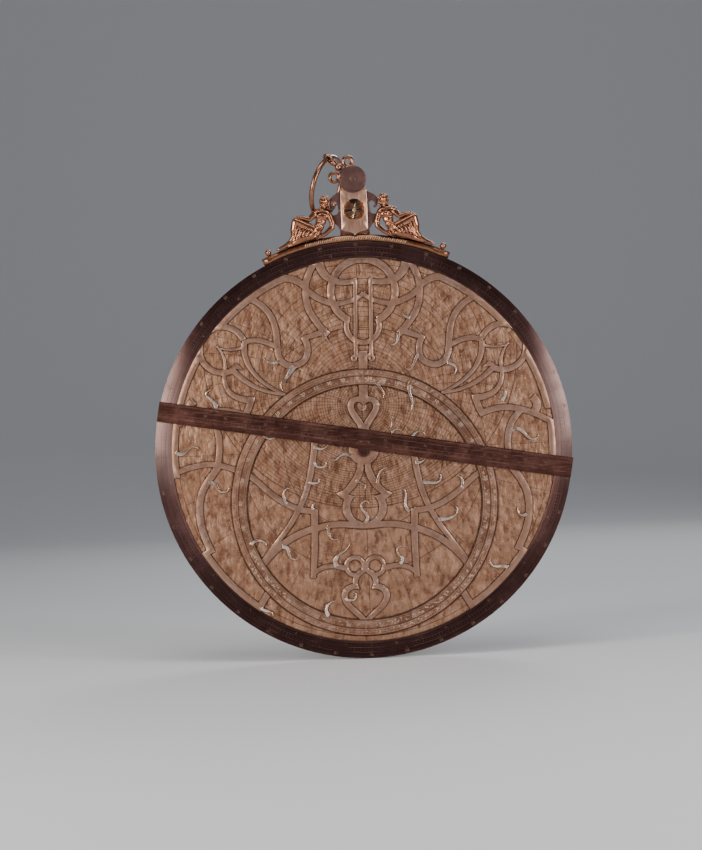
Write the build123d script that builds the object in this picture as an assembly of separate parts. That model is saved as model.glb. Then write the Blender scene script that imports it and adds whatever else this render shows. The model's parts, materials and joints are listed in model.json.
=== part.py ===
from build123d import *
import os
from math import cos, radians, sin

# A very large flat astrolabe.  The part stands on the lowest point of its rim, which is the
# origin: +X is to the right as the front is seen, +Y points away from the viewer and +Z is up.
# Everything is drawn in a face frame instead: x to the right, y up, z towards the viewer, with
# its origin on the centre pin's axis, halfway through the mater.  All sizes are millimetres.
os.makedirs("parts", exist_ok=True)

# ---- mater -------------------------------------------------------------------------------
DISC_R = 295.0                  # radius of the whole disc
WELL_R = 272.0                  # inside radius of the raised limb
BACK_Z, FLOOR_Z, LIMB_Z = -4.5, -1.5, 4.5     # back face, floor of the well, face of the limb
TAB_W, TAB_L = 8.0, 4.0         # locating tab on each plate
LIMB_RIVETS, RIVET_R = 12, 2.45
FLANGE_R = 281.5                # the throne's flange behind the rim starts here
FOOT_SCREW_R, FOOT_SCREW_ANGLES = 288.0, (68, 79, 90, 101, 112)

# ---- plates in the well --------------------------------------------------------------------
TYMPAN_R, TYMPAN_T = 271.6, 1.2
RUN = 0.05                      # radial clearance of a running fit

# ---- centre pin ----------------------------------------------------------------------------
PIN_R, PIN_HEAD_R = 4.0, 5.0
PIN_TAIL_Z = -17.0
WEDGE_T = 3.0

# ---- rete ----------------------------------------------------------------------------------
RETE_R = 271.5
RETE_Z, RETE_T = 2.2, 2.1
RETE_TURN = -1.6                # degrees from upright, as set at rest
BORDER_R = 263.0                # inside of the border along the rim
ECLIPTIC_Y, ECLIPTIC_R, ECLIPTIC_IN_R = -74.5, 188.8, 166.2
AXIS_X = 0.4                    # the line of hearts is this far off the pin
STAR_T = 1.5

# ---- rule ----------------------------------------------------------------------------------
RULE_L, RULE_W, RULE_T = 590.0, 28.5, 2.6
RULE_Z = 6.6
RULE_TURN = -10.0
EYE_R, EYE_Z = 10.5, 4.4

# ---- alidade -------------------------------------------------------------------------------
ALIDADE_L, ALIDADE_W, ALIDADE_T = 556.0, 26.0, 3.0
ALIDADE_TURN = 35.0
VANE_X, VANE_H, VANE_W, VANE_T = 232.0, 42.0, 20.0, 2.0
HINGE_R, HINGE_PIN_R = 3.5, 1.5

# ---- throne --------------------------------------------------------------------------------
ARC_R, ARC_HALF = 304.5, 26.0   # outer radius of the base arc, half its angle
ARC_Z = 4.0
BODY_Z = 4.0                    # half the thickness of the scroll plate
PLATE_T = 2.0                   # front plate and back cover
PLATE_HALF = 18.6
WINDOW_Y, WINDOW_R = 339.6, 15.75
CARD_R = 12.2                   # flat floor of the dished compass bowl
HUB_Y, HUB_R, CHEEK_T = 383.0, 18.8, 2.7
NECK_R = 14.0
LEAN = 48.0                     # the shackle lies this far to the left, on its stop
LOOP_AT, LOOP_TURN, LOOP_R, LOOP_WIRE = 26.5, 34.0, 6.4, 2.55

# ---- suspension ----------------------------------------------------------------------------
BEAD_AT, BEAD_R = 26.7, 5.3
COLLAR_AT, COLLAR_R = 37.4, 4.8
EYE_AT, EYE_MAJOR, EYE_WIRE = 46.0, 6.2, 1.8
RING_R, RING_WIRE = 43.4, 3.4
RING_YAW, RING_DROP = 41.3, -57.2   # the ring leans back behind the throne
RING_SLACK = -13.0              # and hangs askew in its eye

FACE = Pos(0, 0, DISC_R) * Rot(90, 0, 0)


def save(name, *solids):
    """Write one node, turned from the face frame into the part's frame."""
    placed = [FACE * solid for solid in solids]
    export_step(placed[0] if len(placed) == 1 else Compound(children=placed), f"parts/{name}.step")


def disc(radius, z0, z1, at=(0, 0)):
    return Pos(at[0], at[1], z0) * extrude(Circle(radius), z1 - z0)


def ring(outer, inner, z0, z1, at=(0, 0)):
    return Pos(at[0], at[1], z0) * extrude(Circle(outer) - Circle(inner), z1 - z0)


def block(x0, x1, y0, y1, z0, z1):
    size = Box(x1 - x0, y1 - y0, z1 - z0)
    return Pos((x0 + x1) / 2, (y0 + y1) / 2, (z0 + z1) / 2) * size


def polar(radius, angle, centre=(0, 0)):
    return (centre[0] + radius * cos(radians(angle)), centre[1] + radius * sin(radians(angle)))


def sector(inner, outer, start, end, centre=(0, 0)):
    """Flat arc-shaped strip between two radii and two angles."""
    middle = (start + end) / 2
    arc_out = ThreePointArc(*[polar(outer, a, centre) for a in (start, middle, end)])
    arc_in = ThreePointArc(*[polar(inner, a, centre) for a in (start, middle, end)])
    sides = [Line(arc_out @ 0, arc_in @ 0), Line(arc_out @ 1, arc_in @ 1)]
    return make_face([arc_out, arc_in] + sides)


def band(points, width, end_width=None):
    """Flat strap along a smooth centreline; its width changes evenly from start to end."""
    end_width = width if end_width is None else end_width
    line = Line(*points) if len(points) == 2 else Spline(*points)
    steps = 3 * (len(points) - 1)
    left, right = [], []
    for i in range(steps + 1):
        t = i / steps
        at, along = line @ t, line % t
        half = (width + (end_width - width) * t) / 2
        across = Vector(-along.Y, along.X) * half
        left.append(at + across)
        right.append(at - across)
    edges = [Spline(*left), Line(left[-1], right[-1]), Spline(*right), Line(left[0], right[0])]
    return make_face(edges)


def lay(points, side=1):
    """Strapwork points on one side; above the hub the left side was cut a little nearer the middle."""
    if side > 0:
        return points
    return [(-x + 3.4 * min(1, max(y, 0) / 150) * (1 - abs(x) / 280), y) for x, y in points]


def symmetric(*runs):
    """Face from the runs of points of its right half, top to bottom, and their mirror image."""
    edges = []
    for side in (1, -1):
        for run in runs:
            points = [(side * x + AXIS_X, y) for x, y in run]
            edges.append(Line(*points) if len(points) == 2 else Spline(*points))
    return make_face(edges)


def merge(faces):
    """Fuse flat faces into one sketch."""
    return Sketch() + faces


def limb_chain(joints):
    """Balls at the joints (x, y, z, radius) with tapered round lengths between them."""
    pieces = []
    for x, y, z, radius in joints:
        pieces.append(Pos(x, y, z) * Rot(90, 0, 0) * Sphere(radius * 1.04))
    for (x0, y0, z0, r0), (x1, y1, z1, r1) in zip(joints, joints[1:]):
        start, end = Vector(x0, y0, z0), Vector(x1, y1, z1)
        length = (end - start).length
        pieces.append(Plane(origin=start, z_dir=end - start) * Pos(0, 0, length / 2) * Cone(r0, r1, length))
    return pieces


# ---- mater ----------------------------------------------------------------------------------
def make_mater():
    holes = [Pos(*polar(283.5, 15 + i * 360 / LIMB_RIVETS)) for i in range(LIMB_RIVETS)]
    back = disc(DISC_R, BACK_Z, FLOOR_Z) - disc(PIN_R, BACK_Z, FLOOR_Z)
    limb = ring(DISC_R, WELL_R, FLOOR_Z, LIMB_Z)
    notch_top = FLOOR_Z + 3 * TYMPAN_T + 0.1        # blind, so that the limb's face stays whole
    limb -= block(-TAB_W / 2 - 0.2, TAB_W / 2 + 0.2, WELL_R - 5, WELL_R + TAB_L + 0.3, FLOOR_Z, notch_top)
    rivets = []
    for hole in holes:
        shank = hole * disc(RIVET_R, BACK_Z, 1.0)
        back -= shank
        limb -= shank
        rivets.append(shank)
    for angle in FOOT_SCREW_ANGLES:
        shank = disc(1.6, BACK_Z, 2.0, polar(FOOT_SCREW_R, angle))
        back -= shank
        limb -= shank
    save("mater_back_plate", back)
    save("limb_ring", limb)
    save("limb_rivets", *rivets)


def make_tympans():
    tab = block(-TAB_W / 2, TAB_W / 2, TYMPAN_R - 5, WELL_R + TAB_L, 0, TYMPAN_T)
    plate = disc(TYMPAN_R, 0, TYMPAN_T) + tab - disc(PIN_R, 0, TYMPAN_T)
    for level, name in enumerate(("tympan_lower", "tympan_middle", "tympan_upper")):
        save(name, Pos(0, 0, FLOOR_Z + level * TYMPAN_T) * plate)


def make_centre_pin():
    slot_top = -9.6
    slot = block(-WEDGE_T / 2, WEDGE_T / 2, -PIN_R, PIN_R, slot_top - 6.0, slot_top)
    pin = disc(PIN_R, PIN_TAIL_Z, 6.4) + disc(PIN_HEAD_R, 5.4, 6.4) - slot
    washer = ring(9.0, PIN_R, -9.0, -7.8)
    outline = Polyline((-15, -9.1), (17, -9.1), (17, -13.6), (-15, -11.4), close=True)
    wedge = Pos(-WEDGE_T / 2, 0, 0) * extrude(Plane.YZ * make_face(outline), WEDGE_T)
    wedge &= block(-WEDGE_T, WEDGE_T, -15, 17, -13.6, -9.6) + block(-WEDGE_T, WEDGE_T, 6, 17, -13.6, -9.1)
    save("centre_pin", pin)
    save("pin_washer", washer)
    save("pin_wedge", wedge)


# ---- rete -----------------------------------------------------------------------------------
# Strapwork of the right half, mirrored to the left: centreline, width at start, width at end.
STRAPS = [
    # tablet, double ring and bars above the ecliptic
    ([(12.5, 243), (12.5, 131)], 5.2, 5.2),
    ([(1.2, 221.5), (12, 213.5), (25, 209), (40, 206.5)], 5.5, 7),
    ([(40, 206), (60, 212.5), (72, 219.5), (83, 230)], 8, 8.5),
    ([(10, 239), (30, 237), (44, 240), (54, 247), (60, 256), (64, 271)], 6, 13),
    ([(69, 266), (77, 250), (81.5, 236), (82, 222), (78, 200), (69, 184), (60, 172), (51, 163)], 9, 9),
    ([(82, 231), (93, 239), (104, 243), (118, 243), (130, 240)], 9, 10),
    # wing on the upper side
    ([(52, 169), (68, 164), (86, 158)], 9, 6),
    ([(86, 161), (81, 150), (80, 139), (84, 128), (93, 121.5), (103, 119.5), (113, 123), (119.5, 131),
      (122, 143), (123, 158), (125, 173), (131, 190), (141, 203), (157, 214)], 8.5, 8.5),
    ([(124, 147), (137, 153), (151, 156.5), (170, 152)], 7, 6.5),
    ([(169, 152), (167, 132), (161, 118), (150, 104), (137, 93), (122, 84), (111, 79)], 8, 3),
    ([(187, 117), (176, 106), (163, 96), (148, 88), (130, 82), (112, 79)], 8, 3),
    ([(166, 147), (185, 143.5), (200, 144.5), (208, 148)], 4.5, 1),
    ([(207, 149), (198, 134), (195.5, 120), (197, 106), (195, 93), (188, 82), (178, 75.5), (158, 72)], 2, 9),
    ([(158, 76), (162, 62), (170, 47)], 9, 9),
    ([(166, 49), (185, 55.5), (205, 57.5), (222, 55), (240, 49.5), (269, 34)], 8, 8),
    # middle of the side
    ([(240, 72), (246, 60), (240, 49)], 11, 11),
    ([(269, -31.5), (250, -24), (230, -19.5), (210, -19), (193, -23), (176, -29)], 7.5, 7.5),
    ([(226, 55), (212, 40), (206, 25), (204, 8), (205, -8), (207, -22)], 8.5, 8.5),
    ([(206, -22), (219, -40), (228, -55), (232.5, -71), (233, -88), (231, -105), (226, -122), (216, -144)],
     9.5, 9.5),
    # around the hub
    ([(14, 10), (30, 11.5), (45, 14), (70, 14)], 8, 8),
    ([(69, 17), (71, -6), (75, -30), (84, -64), (94, -86), (108, -109), (124, -130), (146, -160)], 9, 6),
    ([(0, -107.5), (20, -106), (40, -105.5), (55, -107.5), (70, -112)], 8.5, 8.5),
    ([(71, -84), (71, -140), (73.5, -181)], 10, 8),
    ([(66, -109), (82, -114.5), (98, -121.5), (113, -130.5), (128, -143), (146, -163)], 9, 9),
    ([(70, -86), (90, -84), (108, -77), (124, -67), (138, -56), (152, -43), (170, -31)], 8, 8),
    ([(75, -178), (64, -168.5), (52, -164.5), (42, -164.5), (28, -168)], 5, 7.5),
    ([(136, -199), (154, -228)], 9, 9),
]

# Hearts and knot on the centre line: runs of the right half, outlines first and then the holes.
UPPER_HEART = [[(0, 76), (9, 75)],
               [(9, 75), (15, 73.5), (20, 70), (22.4, 64.5), (22, 58), (18.5, 49), (13, 40.5), (8, 32.5)],
               [(8, 32.5), (6.5, 20)], [(6.5, 20), (0, 18)]]
UPPER_HEART_HOLE = [[(0, 63), (3.5, 66), (7.5, 67.6), (11.5, 66.5), (13.6, 63), (13.2, 58), (9.5, 51.5),
                     (5, 45), (0, 37)]]
KNOT = [[(0, -14), (9.3, -18)], [(9.3, -18), (10, -26), (12.6, -33), (17, -41), (23, -49.5), (31, -57.8)],
        [(31, -57.8), (40, -62)], [(40, -62), (34, -67), (28.8, -70.8)],
        [(28.8, -70.8), (30.8, -77), (31.2, -85), (29, -93), (23.5, -100), (14, -106)],
        [(14, -106), (0, -110)]]
KNOT_HOLE = [[(0, -21), (1.4, -21.6)],
             [(1.4, -21.6), (1.5, -30), (4, -38), (8, -46), (13.2, -53), (18.6, -58.5), (23.4, -63)],
             [(23.4, -63), (18, -65), (13.3, -66.6)],
             [(13.3, -66.6), (17, -69.8), (19.9, -76.5), (20.2, -84.5), (18, -91.5), (14, -97), (8, -101),
              (0, -102.8)]]
LOWER_HEART = [[(0, -168), (8, -170)], [(8, -170), (14, -175), (17.6, -182), (17.8, -190)],
               [(17.8, -190), (24, -191.6), (30, -196), (33.8, -203), (33.8, -210.5), (30, -219), (23, -227),
                (14, -235), (5, -243)], [(5, -243), (0, -247)]]
LOWER_HEART_HOLE = [[(0, -172.6), (3.5, -176)],
                    [(3.5, -176), (8.6, -180), (11, -186.5), (10.4, -193), (7.4, -198.4)],
                    [(7.4, -198.4), (13.5, -197), (19.5, -198.2), (24.2, -202.4), (25.4, -208.5),
                     (22.6, -215.5), (16.5, -222.5), (9, -229.5), (0, -238.4)]]

# Flame-shaped star pointers: centreline from root to tip, and width at the root.
STARS = [
    ([(50, 165), (50, 155), (44, 148), (38, 151)], 5),
    ([(68, 186), (61, 188), (57, 193)], 5),
    ([(79, 134), (72, 120), (66, 113), (59, 116)], 5),
    ([(119, 122), (127, 119), (132, 112), (130, 106), (125, 105)], 5),
    ([(196, 66), (200, 73), (202, 80), (195, 84)], 5.5),
    ([(209, 25), (219, 27), (227, 21), (236, 13), (244, 13), (248, 20)], 6),
    ([(19, 95), (25, 87), (29, 80), (28, 72)], 5),
    ([(68, 95), (67, 76), (70, 63), (67, 54), (60, 51)], 5.5),
    ([(40, 46), (41, 38), (38, 31)], 4.5),
    ([(40, 16), (43, 27), (53, 27)], 4.5),
    ([(70, 17), (75, 24), (82, 25), (87, 20)], 4.5),
    ([(73, -19), (79, -19), (87, -13)], 4.5),
    ([(19, -48), (21, -36), (25, -29), (33, -27)], 4.5),
    ([(0, -104), (4, -94), (-2, -86), (-5, -79), (0, -73), (7, -78)], 5),
    ([(64, -88), (58, -75), (59, -66), (56, -57), (49, -55)], 5),
    ([(84, -47), (97, -48), (106, -46), (109, -39), (104, -35)], 5),
    ([(138, -56), (139, -45), (135, -39), (128, -41)], 5),
    ([(104, -100), (117, -99), (128, -94), (132, -87), (128, -81)], 6),
    ([(229, -94), (222, -95), (217, -90), (218, -83)], 5),
    ([(49, -162), (52, -153), (46, -146), (46, -141), (53, -138)], 5.5),
    ([(202, -169), (193, -167), (183, -167), (177, -162), (178, -156)], 6),
    ([(-57, 166), (-53, 160), (-47, 153)], 5),
    ([(-118, 127), (-127, 124), (-135, 126), (-140, 132)], 5),
    ([(-96, 120), (-102, 112), (-108, 103), (-115, 95), (-113, 84)], 8),
    ([(-209, 61), (-215, 73), (-222, 80), (-214, 87)], 6),
    ([(-266, 0), (-254, -2), (-246, 5), (-238, 6), (-230, 1)], 6),
    ([(-220, -45), (-210, -48), (-203, -57), (-195, -57), (-191, -50)], 5.5),
    ([(-141, 23), (-133, 17), (-124, 20)], 5),
    ([(-70, 5), (-58, 2), (-50, 8)], 4.5),
    ([(-70, -17), (-64, -24), (-57, -24), (-53, -17)], 4.5),
    ([(-78, -45), (-70, -47), (-64, -45), (-64, -39)], 4.5),
    ([(-17, -10), (-25, -6), (-33, -8), (-40, -14), (-47, -11)], 5),
    ([(-108, -75), (-114, -63), (-112, -56), (-104, -54)], 5),
    ([(-73, -85), (-72, -77), (-68, -73)], 4.5),
    ([(-12, -44), (-3, -47), (2, -52), (-1.5, -57)], 5),
    ([(-161, -133), (-151, -127), (-142, -129), (-139, -136)], 5.5),
    ([(-117, -136), (-109, -140), (-106, -150), (-100, -154), (-93, -151)], 6),
    ([(-50, -107), (-51, -119), (-46, -126), (-37, -126)], 5),
    ([(-40, -165), (-41, -154), (-35, -147), (-26, -140), (-21, -132)], 7),
    ([(-29, -209), (-21, -213), (-14, -210), (-13, -205), (-19, -202)], 5),
    ([(-52, -235), (-55, -223), (-50, -216), (-43, -214)], 6),
    ([(-148, -221), (-141, -226), (-134, -228), (-131, -235)], 5.5),
]


def rete_outline():
    faces = []
    for side in (1, -1):
        faces += [band(lay(points, side), start, end) for points, start, end in STRAPS]
        for start, end in ((40.8, 66.0), (12.0, 30.4), (-8.0, 7.6), (-56.5, -32.0)):
            rim = sector(BORDER_R, RETE_R, start, end)
            faces.append(rim if side > 0 else mirror(rim, Plane.YZ))
        curl = lay([(199, 143.5)], side)[0]
        turns = (-116, 156) if side > 0 else (24, 296)
        faces.append(sector(28.5, 36.5, *turns, centre=curl))
        eye = lay([(14.2, -165)], side)[0]
        faces.append(Pos(*eye) * (Circle(15.3) - Circle(9.6)))
        faces.append(Pos(AXIS_X + 12.6 * side, 129.4) * (Circle(4.6) - Circle(1.4)))
        thorn = lay([(170, 115), (179, 124.5), (188, 117.5)], side)
        faces.append(make_face(Polyline(*thorn, close=True)))
    ecliptic = Pos(AXIS_X, ECLIPTIC_Y) * (Circle(ECLIPTIC_R) - Circle(ECLIPTIC_IN_R))
    faces += [ecliptic, Circle(21.3)]
    faces.append(sector(40.6, 50.6, -64, 244, centre=(1.5, 224)))
    faces.append(sector(19.8, 26.8, -206, 26, centre=(0.8, 175)))
    faces += [Pos(AXIS_X, 126) * Rectangle(12.5, 26), Pos(AXIS_X, 83) * Rectangle(12.5, 26)]
    faces.append(Pos(1.5, 133.5) * Rectangle(22, 5))
    whole = merge(faces + [symmetric(*runs) for runs in (UPPER_HEART, KNOT, LOWER_HEART)])
    for runs in (UPPER_HEART_HOLE, KNOT_HOLE, LOWER_HEART_HOLE):
        whole -= symmetric(*runs)
    return (whole & Circle(RETE_R)) - Circle(PIN_R + RUN)


def make_rete():
    turn = Rot(0, 0, RETE_TURN)
    frame = extrude(rete_outline(), RETE_T)
    save("rete_frame", turn * Pos(0, 0, RETE_Z) * frame)
    stars = []
    for points, width in STARS:
        tip_width = 0.9
        flame = extrude(band(points, width, tip_width), STAR_T)
        stars.append(turn * Pos(0, 0, RETE_Z + RETE_T) * flame)
    save("star_pointers", *stars)


# ---- rule -----------------------------------------------------------------------------------
def make_rule():
    turn = Rot(0, 0, RULE_TURN)
    blade = block(-RULE_L / 2, RULE_L / 2, 0, RULE_W, RULE_Z, RULE_Z + RULE_T)
    bevel = [edge for edge in blade.edges().filter_by(Axis.X) if edge.center().Z > RULE_Z + 1]
    blade = chamfer([min(bevel, key=lambda edge: edge.center().Y)], length=1.6, length2=6.0)
    eye = disc(EYE_R, EYE_Z, RULE_Z) + block(-9, 9, 0.5, 13.2, EYE_Z, RULE_Z)
    eye -= disc(PIN_R + RUN, EYE_Z, RULE_Z) + disc(PIN_HEAD_R + 0.3, 5.3, RULE_Z)
    rivets = [disc(1.3, EYE_Z + 0.2, RULE_Z + RULE_T, (x, 10.8)) for x in (-6.6, 6.6)]
    for rivet in rivets:
        blade -= rivet
        eye -= rivet
    save("rule_blade", turn * blade)
    save("rule_eye", turn * eye)
    save("rule_rivets", *[turn * rivet for rivet in rivets])


# ---- alidade --------------------------------------------------------------------------------
def make_alidade():
    turn = Rot(0, 0, ALIDADE_TURN)
    front = BACK_Z - 0.1
    back = front - ALIDADE_T
    half, tip = ALIDADE_L / 2, 5.0
    shoulder = VANE_X + 22
    outline = Polyline((-half, 0), (-shoulder, ALIDADE_W / 2), (-20, tip), (20, tip), (shoulder, ALIDADE_W / 2),
                       (half, 0), (shoulder, 0), (20, -tip), (-20, -tip), (-shoulder, 0), close=True)
    arms = make_face(outline)
    arms += [Circle(17)] + [Pos(s * VANE_X, 0) * Rectangle(30, ALIDADE_W) for s in (-1, 1)]
    bar = Pos(0, 0, back) * extrude(arms, ALIDADE_T) - disc(PIN_R + RUN, back, front)
    hinge_z = back - HINGE_R - 0.3
    lugs, pins, screws = [], [], []
    for side in (-1, 1):
        x = side * VANE_X
        for y in (-10.5, 10.5):
            foot = block(x - 5, x + 5, y - 2, y + 2, hinge_z, back)
            knuckle = Pos(x, y, hinge_z) * Rot(90, 0, 0) * Cylinder(HINGE_R + 0.3, 4)
            bore = Pos(x, y, hinge_z) * Rot(90, 0, 0) * Cylinder(HINGE_PIN_R, 6)
            screw_hole = Pos(x, y, 0) * disc(0.9, hinge_z + 2.4, front)
            lug = foot + knuckle - bore - screw_hole
            lugs.append(lug)
            bar -= screw_hole
            screws.append(screw_hole)
        pin = Pos(x, 0, hinge_z) * Rot(90, 0, 0) * Cylinder(HINGE_PIN_R, 26)
        pins.append(pin)
        vane = block(x - VANE_T / 2, x + VANE_T / 2, -VANE_W / 2 + 2, VANE_W / 2 - 2,
                     hinge_z - VANE_H, hinge_z)
        vane += Pos(x, 0, hinge_z - VANE_H + 8) * Rot(0, 90, 0) * Cylinder(8, VANE_T)
        vane += Pos(x, 0, hinge_z) * Rot(90, 0, 0) * Cylinder(HINGE_R, 16.4)
        vane -= Pos(x, 0, hinge_z) * Rot(90, 0, 0) * Cylinder(HINGE_PIN_R + RUN, 18)
        for height, radius in ((14, 1.5), (33, 0.7)):
            vane -= Pos(x, 0, hinge_z - height) * Rot(0, 90, 0) * Cylinder(radius, 6)
        save("sight_vane_left" if side < 0 else "sight_vane_right", turn * vane)
    save("alidade_bar", turn * bar)
    save("vane_hinge_lugs", *[turn * lug for lug in lugs])
    save("vane_hinge_pins", *[turn * pin for pin in pins])
    save("hinge_lug_screws", *[turn * screw for screw in screws])


# ---- throne ---------------------------------------------------------------------------------
def scroll_outline():
    """Dark backing plate of the throne: waist, lower lobes, neck and two hooked volutes."""
    lobe = [
        Line((0, 306), (18, 306)),
        Spline((18, 306), (21.5, 313), (27.5, 321), (34.5, 325.5), (37, 330.5), (33, 334.3)),
        Spline((33, 334.3), (28, 333.0), (24.4, 334.4), (22.6, 338.5)),
    ]
    top = [Line((14, 372), (14, 383)), Line((14, 383), (0, 383)), Line((0, 383), (0, 306))]
    closed_hook = [
        Spline((22.6, 338.5), (22.8, 343.6), (23.6, 348.6), (26, 352.2), (29.6, 352.8), (31.8, 350),
               (30.6, 347.2), (27.4, 346.8)),
        Spline((27.4, 346.8), (26.4, 344.4), (28.8, 341.6), (32.6, 342.4), (35.6, 346.6), (35.4, 352.6),
               (31, 358.6), (25.2, 362.8), (18.5, 366.5), (14, 372)),
    ]
    open_hook = [
        Spline((22.6, 338.5), (21.8, 345), (22.4, 350.2), (25.4, 352.4), (28.4, 350.4), (29.2, 346.4),
               (27.2, 344.2)),
        Spline((27.2, 344.2), (29.4, 342), (32.4, 344.6), (34, 350), (32.6, 356.6), (28, 361),
               (22, 363.8), (17.4, 367), (14, 372)),
    ]
    right = make_face(lobe + open_hook + top)
    left = mirror(make_face(lobe + closed_hook + top), Plane.YZ)
    return merge([right, left, Pos(0, HUB_Y) * Circle(NECK_R)])


def front_outline():
    right = [
        Spline((0, 302.5), (2.5, 306), (8, 308.5), (14, 309.6), (PLATE_HALF, 312)),
        Line((PLATE_HALF, 312), (PLATE_HALF, 367)),
        Line((PLATE_HALF, 367), (14.5, 373)),
        Line((14.5, 373), (0, 373)),
        Line((0, 373), (0, 302.5)),
    ]
    half = make_face(right)
    return merge([half, mirror(half, Plane.YZ)]) - Pos(0, HUB_Y) * Circle(HUB_R + 0.3)


def make_throne():
    start, end = 90 - ARC_HALF, 90 + ARC_HALF
    arc = Pos(0, 0, BACK_Z) * extrude(sector(DISC_R, ARC_R, start, end), ARC_Z - BACK_Z)
    flange = Pos(0, 0, BACK_Z - 2.2) * extrude(sector(FLANGE_R, ARC_R, start + 2, end - 2), 2.2)
    arc += flange
    foot_screws = []
    for angle in FOOT_SCREW_ANGLES:
        at = polar(FOOT_SCREW_R, angle)
        screw = disc(1.6, BACK_Z - 2.2, 2.0, at)
        arc -= screw
        head = disc(3.4, BACK_Z - 3.6, BACK_Z - 2.2, at) - block(at[0] - 4, at[0] + 4, at[1] - 0.4,
                                                             at[1] + 0.4, BACK_Z - 3.6, BACK_Z - 3.0)
        foot_screws.append(screw + head)
    save("throne_base_arc", arc)

    pedestal = block(-21, 21, 300, 311, -BODY_Z - PLATE_T, BODY_Z)
    pedestal -= disc(ARC_R, -20, 20)
    waist = Pos(0, 0, -BODY_Z) * extrude(scroll_outline(), 2 * BODY_Z)
    pedestal -= waist
    save("throne_pedestal", pedestal)

    window = disc(WINDOW_R + 1.0, -BODY_Z, BODY_Z, (0, WINDOW_Y))
    neck_bore = disc(3.0, -BODY_Z, BODY_Z, (0, HUB_Y))
    front = Pos(0, 0, BODY_Z) * extrude(front_outline(), PLATE_T)
    front -= disc(WINDOW_R, BODY_Z, BODY_Z + PLATE_T, (0, WINDOW_Y))
    above = block(-30, 30, 311, 400, -BODY_Z - PLATE_T, -BODY_Z)
    cover = (Pos(0, 0, -BODY_Z - PLATE_T) * extrude(front_outline(), PLATE_T)) & above
    plate = waist - window - neck_bore
    screws = []
    for x, y in ((-13, 317), (13, 317), (-13, 361.5), (13, 361.5)):
        shank = disc(1.25, -BODY_Z - PLATE_T, BODY_Z + 1.2, (x, y))
        front -= shank
        cover -= shank
        plate -= shank
        head = disc(2.6, -BODY_Z - PLATE_T - 1.2, -BODY_Z - PLATE_T, (x, y))
        head -= block(x - 3, x + 3, y - 0.35, y + 0.35, -BODY_Z - PLATE_T - 1.2, -BODY_Z - PLATE_T - 0.6)
        screws.append(shank + head)
    save("throne_front_plate", front)
    save("throne_back_cover", cover)
    save("throne_scroll_plate", plate)
    save("throne_screws", *screws, *foot_screws)

    knobs = []
    for side in (-1, 1):
        angle = 90 + side * 23.6
        axis = Plane(origin=(*polar(ARC_R, angle), 0.5), z_dir=(*polar(1, angle), 0))
        knobs.append(axis * (Pos(0, 0, 1.2) * Cylinder(2.6, 2.4) + Pos(0, 0, 5.0) * Sphere(4.5)))
    save("end_knobs", *knobs)


def make_compass():
    at = Pos(0, WINDOW_Y, 0)
    floor = -BODY_Z + 1.2
    dish = Pos(0, 0, (floor + BODY_Z) / 2) * Cone(CARD_R, WINDOW_R - 0.9, BODY_Z - floor)
    bowl = Cylinder(WINDOW_R + 0.9, 2 * BODY_Z) - dish
    card = Pos(0, 0, floor + 0.35) * Cylinder(CARD_R, 0.7)
    base = floor + 0.7
    pivot = Pos(0, 0, base + 0.6) * Cylinder(2.2, 1.2)
    pivot += Pos(0, 0, base + 2.4) * Cone(1.1, 0.35, 2.4)
    tip = WINDOW_R - 3.4
    outline = Polyline((-tip, 0), (-tip + 2, 1.7), (-5, 1.2), (0, 2.6), (4, 0.9), (tip, 0),
                       (4, -0.9), (0, -2.6), (-5, -1.2), (-tip + 2, -1.7), close=True)
    needle = extrude(make_face(outline), 0.7) + Pos(0, 0, 0.9) * Cylinder(2.4, 1.0)
    needle -= Cylinder(1.3, 3.4)
    needle += Pos(0, 0, 1.55) * Cylinder(2.4, 0.5)
    strip = Pos(0, 0, base + 0.3) * Box(2.0, 2 * CARD_R - 1.2, 0.6)
    strip -= Cylinder(2.2, 20)
    save("compass_bowl", at * bowl)
    save("compass_card", at * card)
    save("compass_pivot", at * pivot)
    save("compass_strip", *[at * Rot(0, 0, -12) * half for half in strip.solids()])
    save("compass_needle", at * Pos(0, 0, base + 2.35) * Rot(0, 0, 5) * needle)
    save("compass_glass", disc(WINDOW_R - 0.05, BODY_Z + 0.2, BODY_Z + 1.4, (0, WINDOW_Y)))


def make_figures():
    """Seated figures leaning back on the throne, cast in the round; the right one is drawn."""
    z = 5.0
    chains = [
        [(43.2, 354.5, z, 6.9), (41.4, 347.2, z, 5.9), (44, 341, z, 3.5), (45.4, 333, z, 7.0), (50, 321, z, 8.8),
         (56, 312, z, 9.4)],                                                 # head, neck and trunk
        [(36.4, 334.6, z, 4.6), (32.5, 317, z + 1, 2.9), (48.3, 302, z, 2.5)],       # propping arm
        [(55.2, 334.3, z, 4.7), (70, 325.5, z + 1.4, 2.9), (79, 330, z + 1, 2.3)],   # arm along the thigh
        [(60, 315, z - 0.4, 6.6), (82.5, 323, z, 5.2), (85, 303.5, z + 0.2, 3.5), (96, 293, z, 3.0),
         (107, 287, z, 2.3)],                                                # raised leg
        [(58, 305, z + 0.3, 7.6), (75, 300.5, z + 0.3, 6.2), (90, 293, z + 0.2, 3.4)],  # drapery and far leg
    ]
    pieces = [piece for chain in chains for piece in limb_chain(chain)]
    figure = pieces[0].fuse(*pieces[1:])
    figure -= disc(ARC_R, -30, 30)
    figure -= block(0, 120, 250, 400, -30, -3.6)
    waist = Pos(0, 0, -BODY_Z) * extrude(scroll_outline(), 2 * BODY_Z)
    save("figure_right", figure - waist)
    save("figure_left", mirror(figure, Plane.YZ) - waist)


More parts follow.
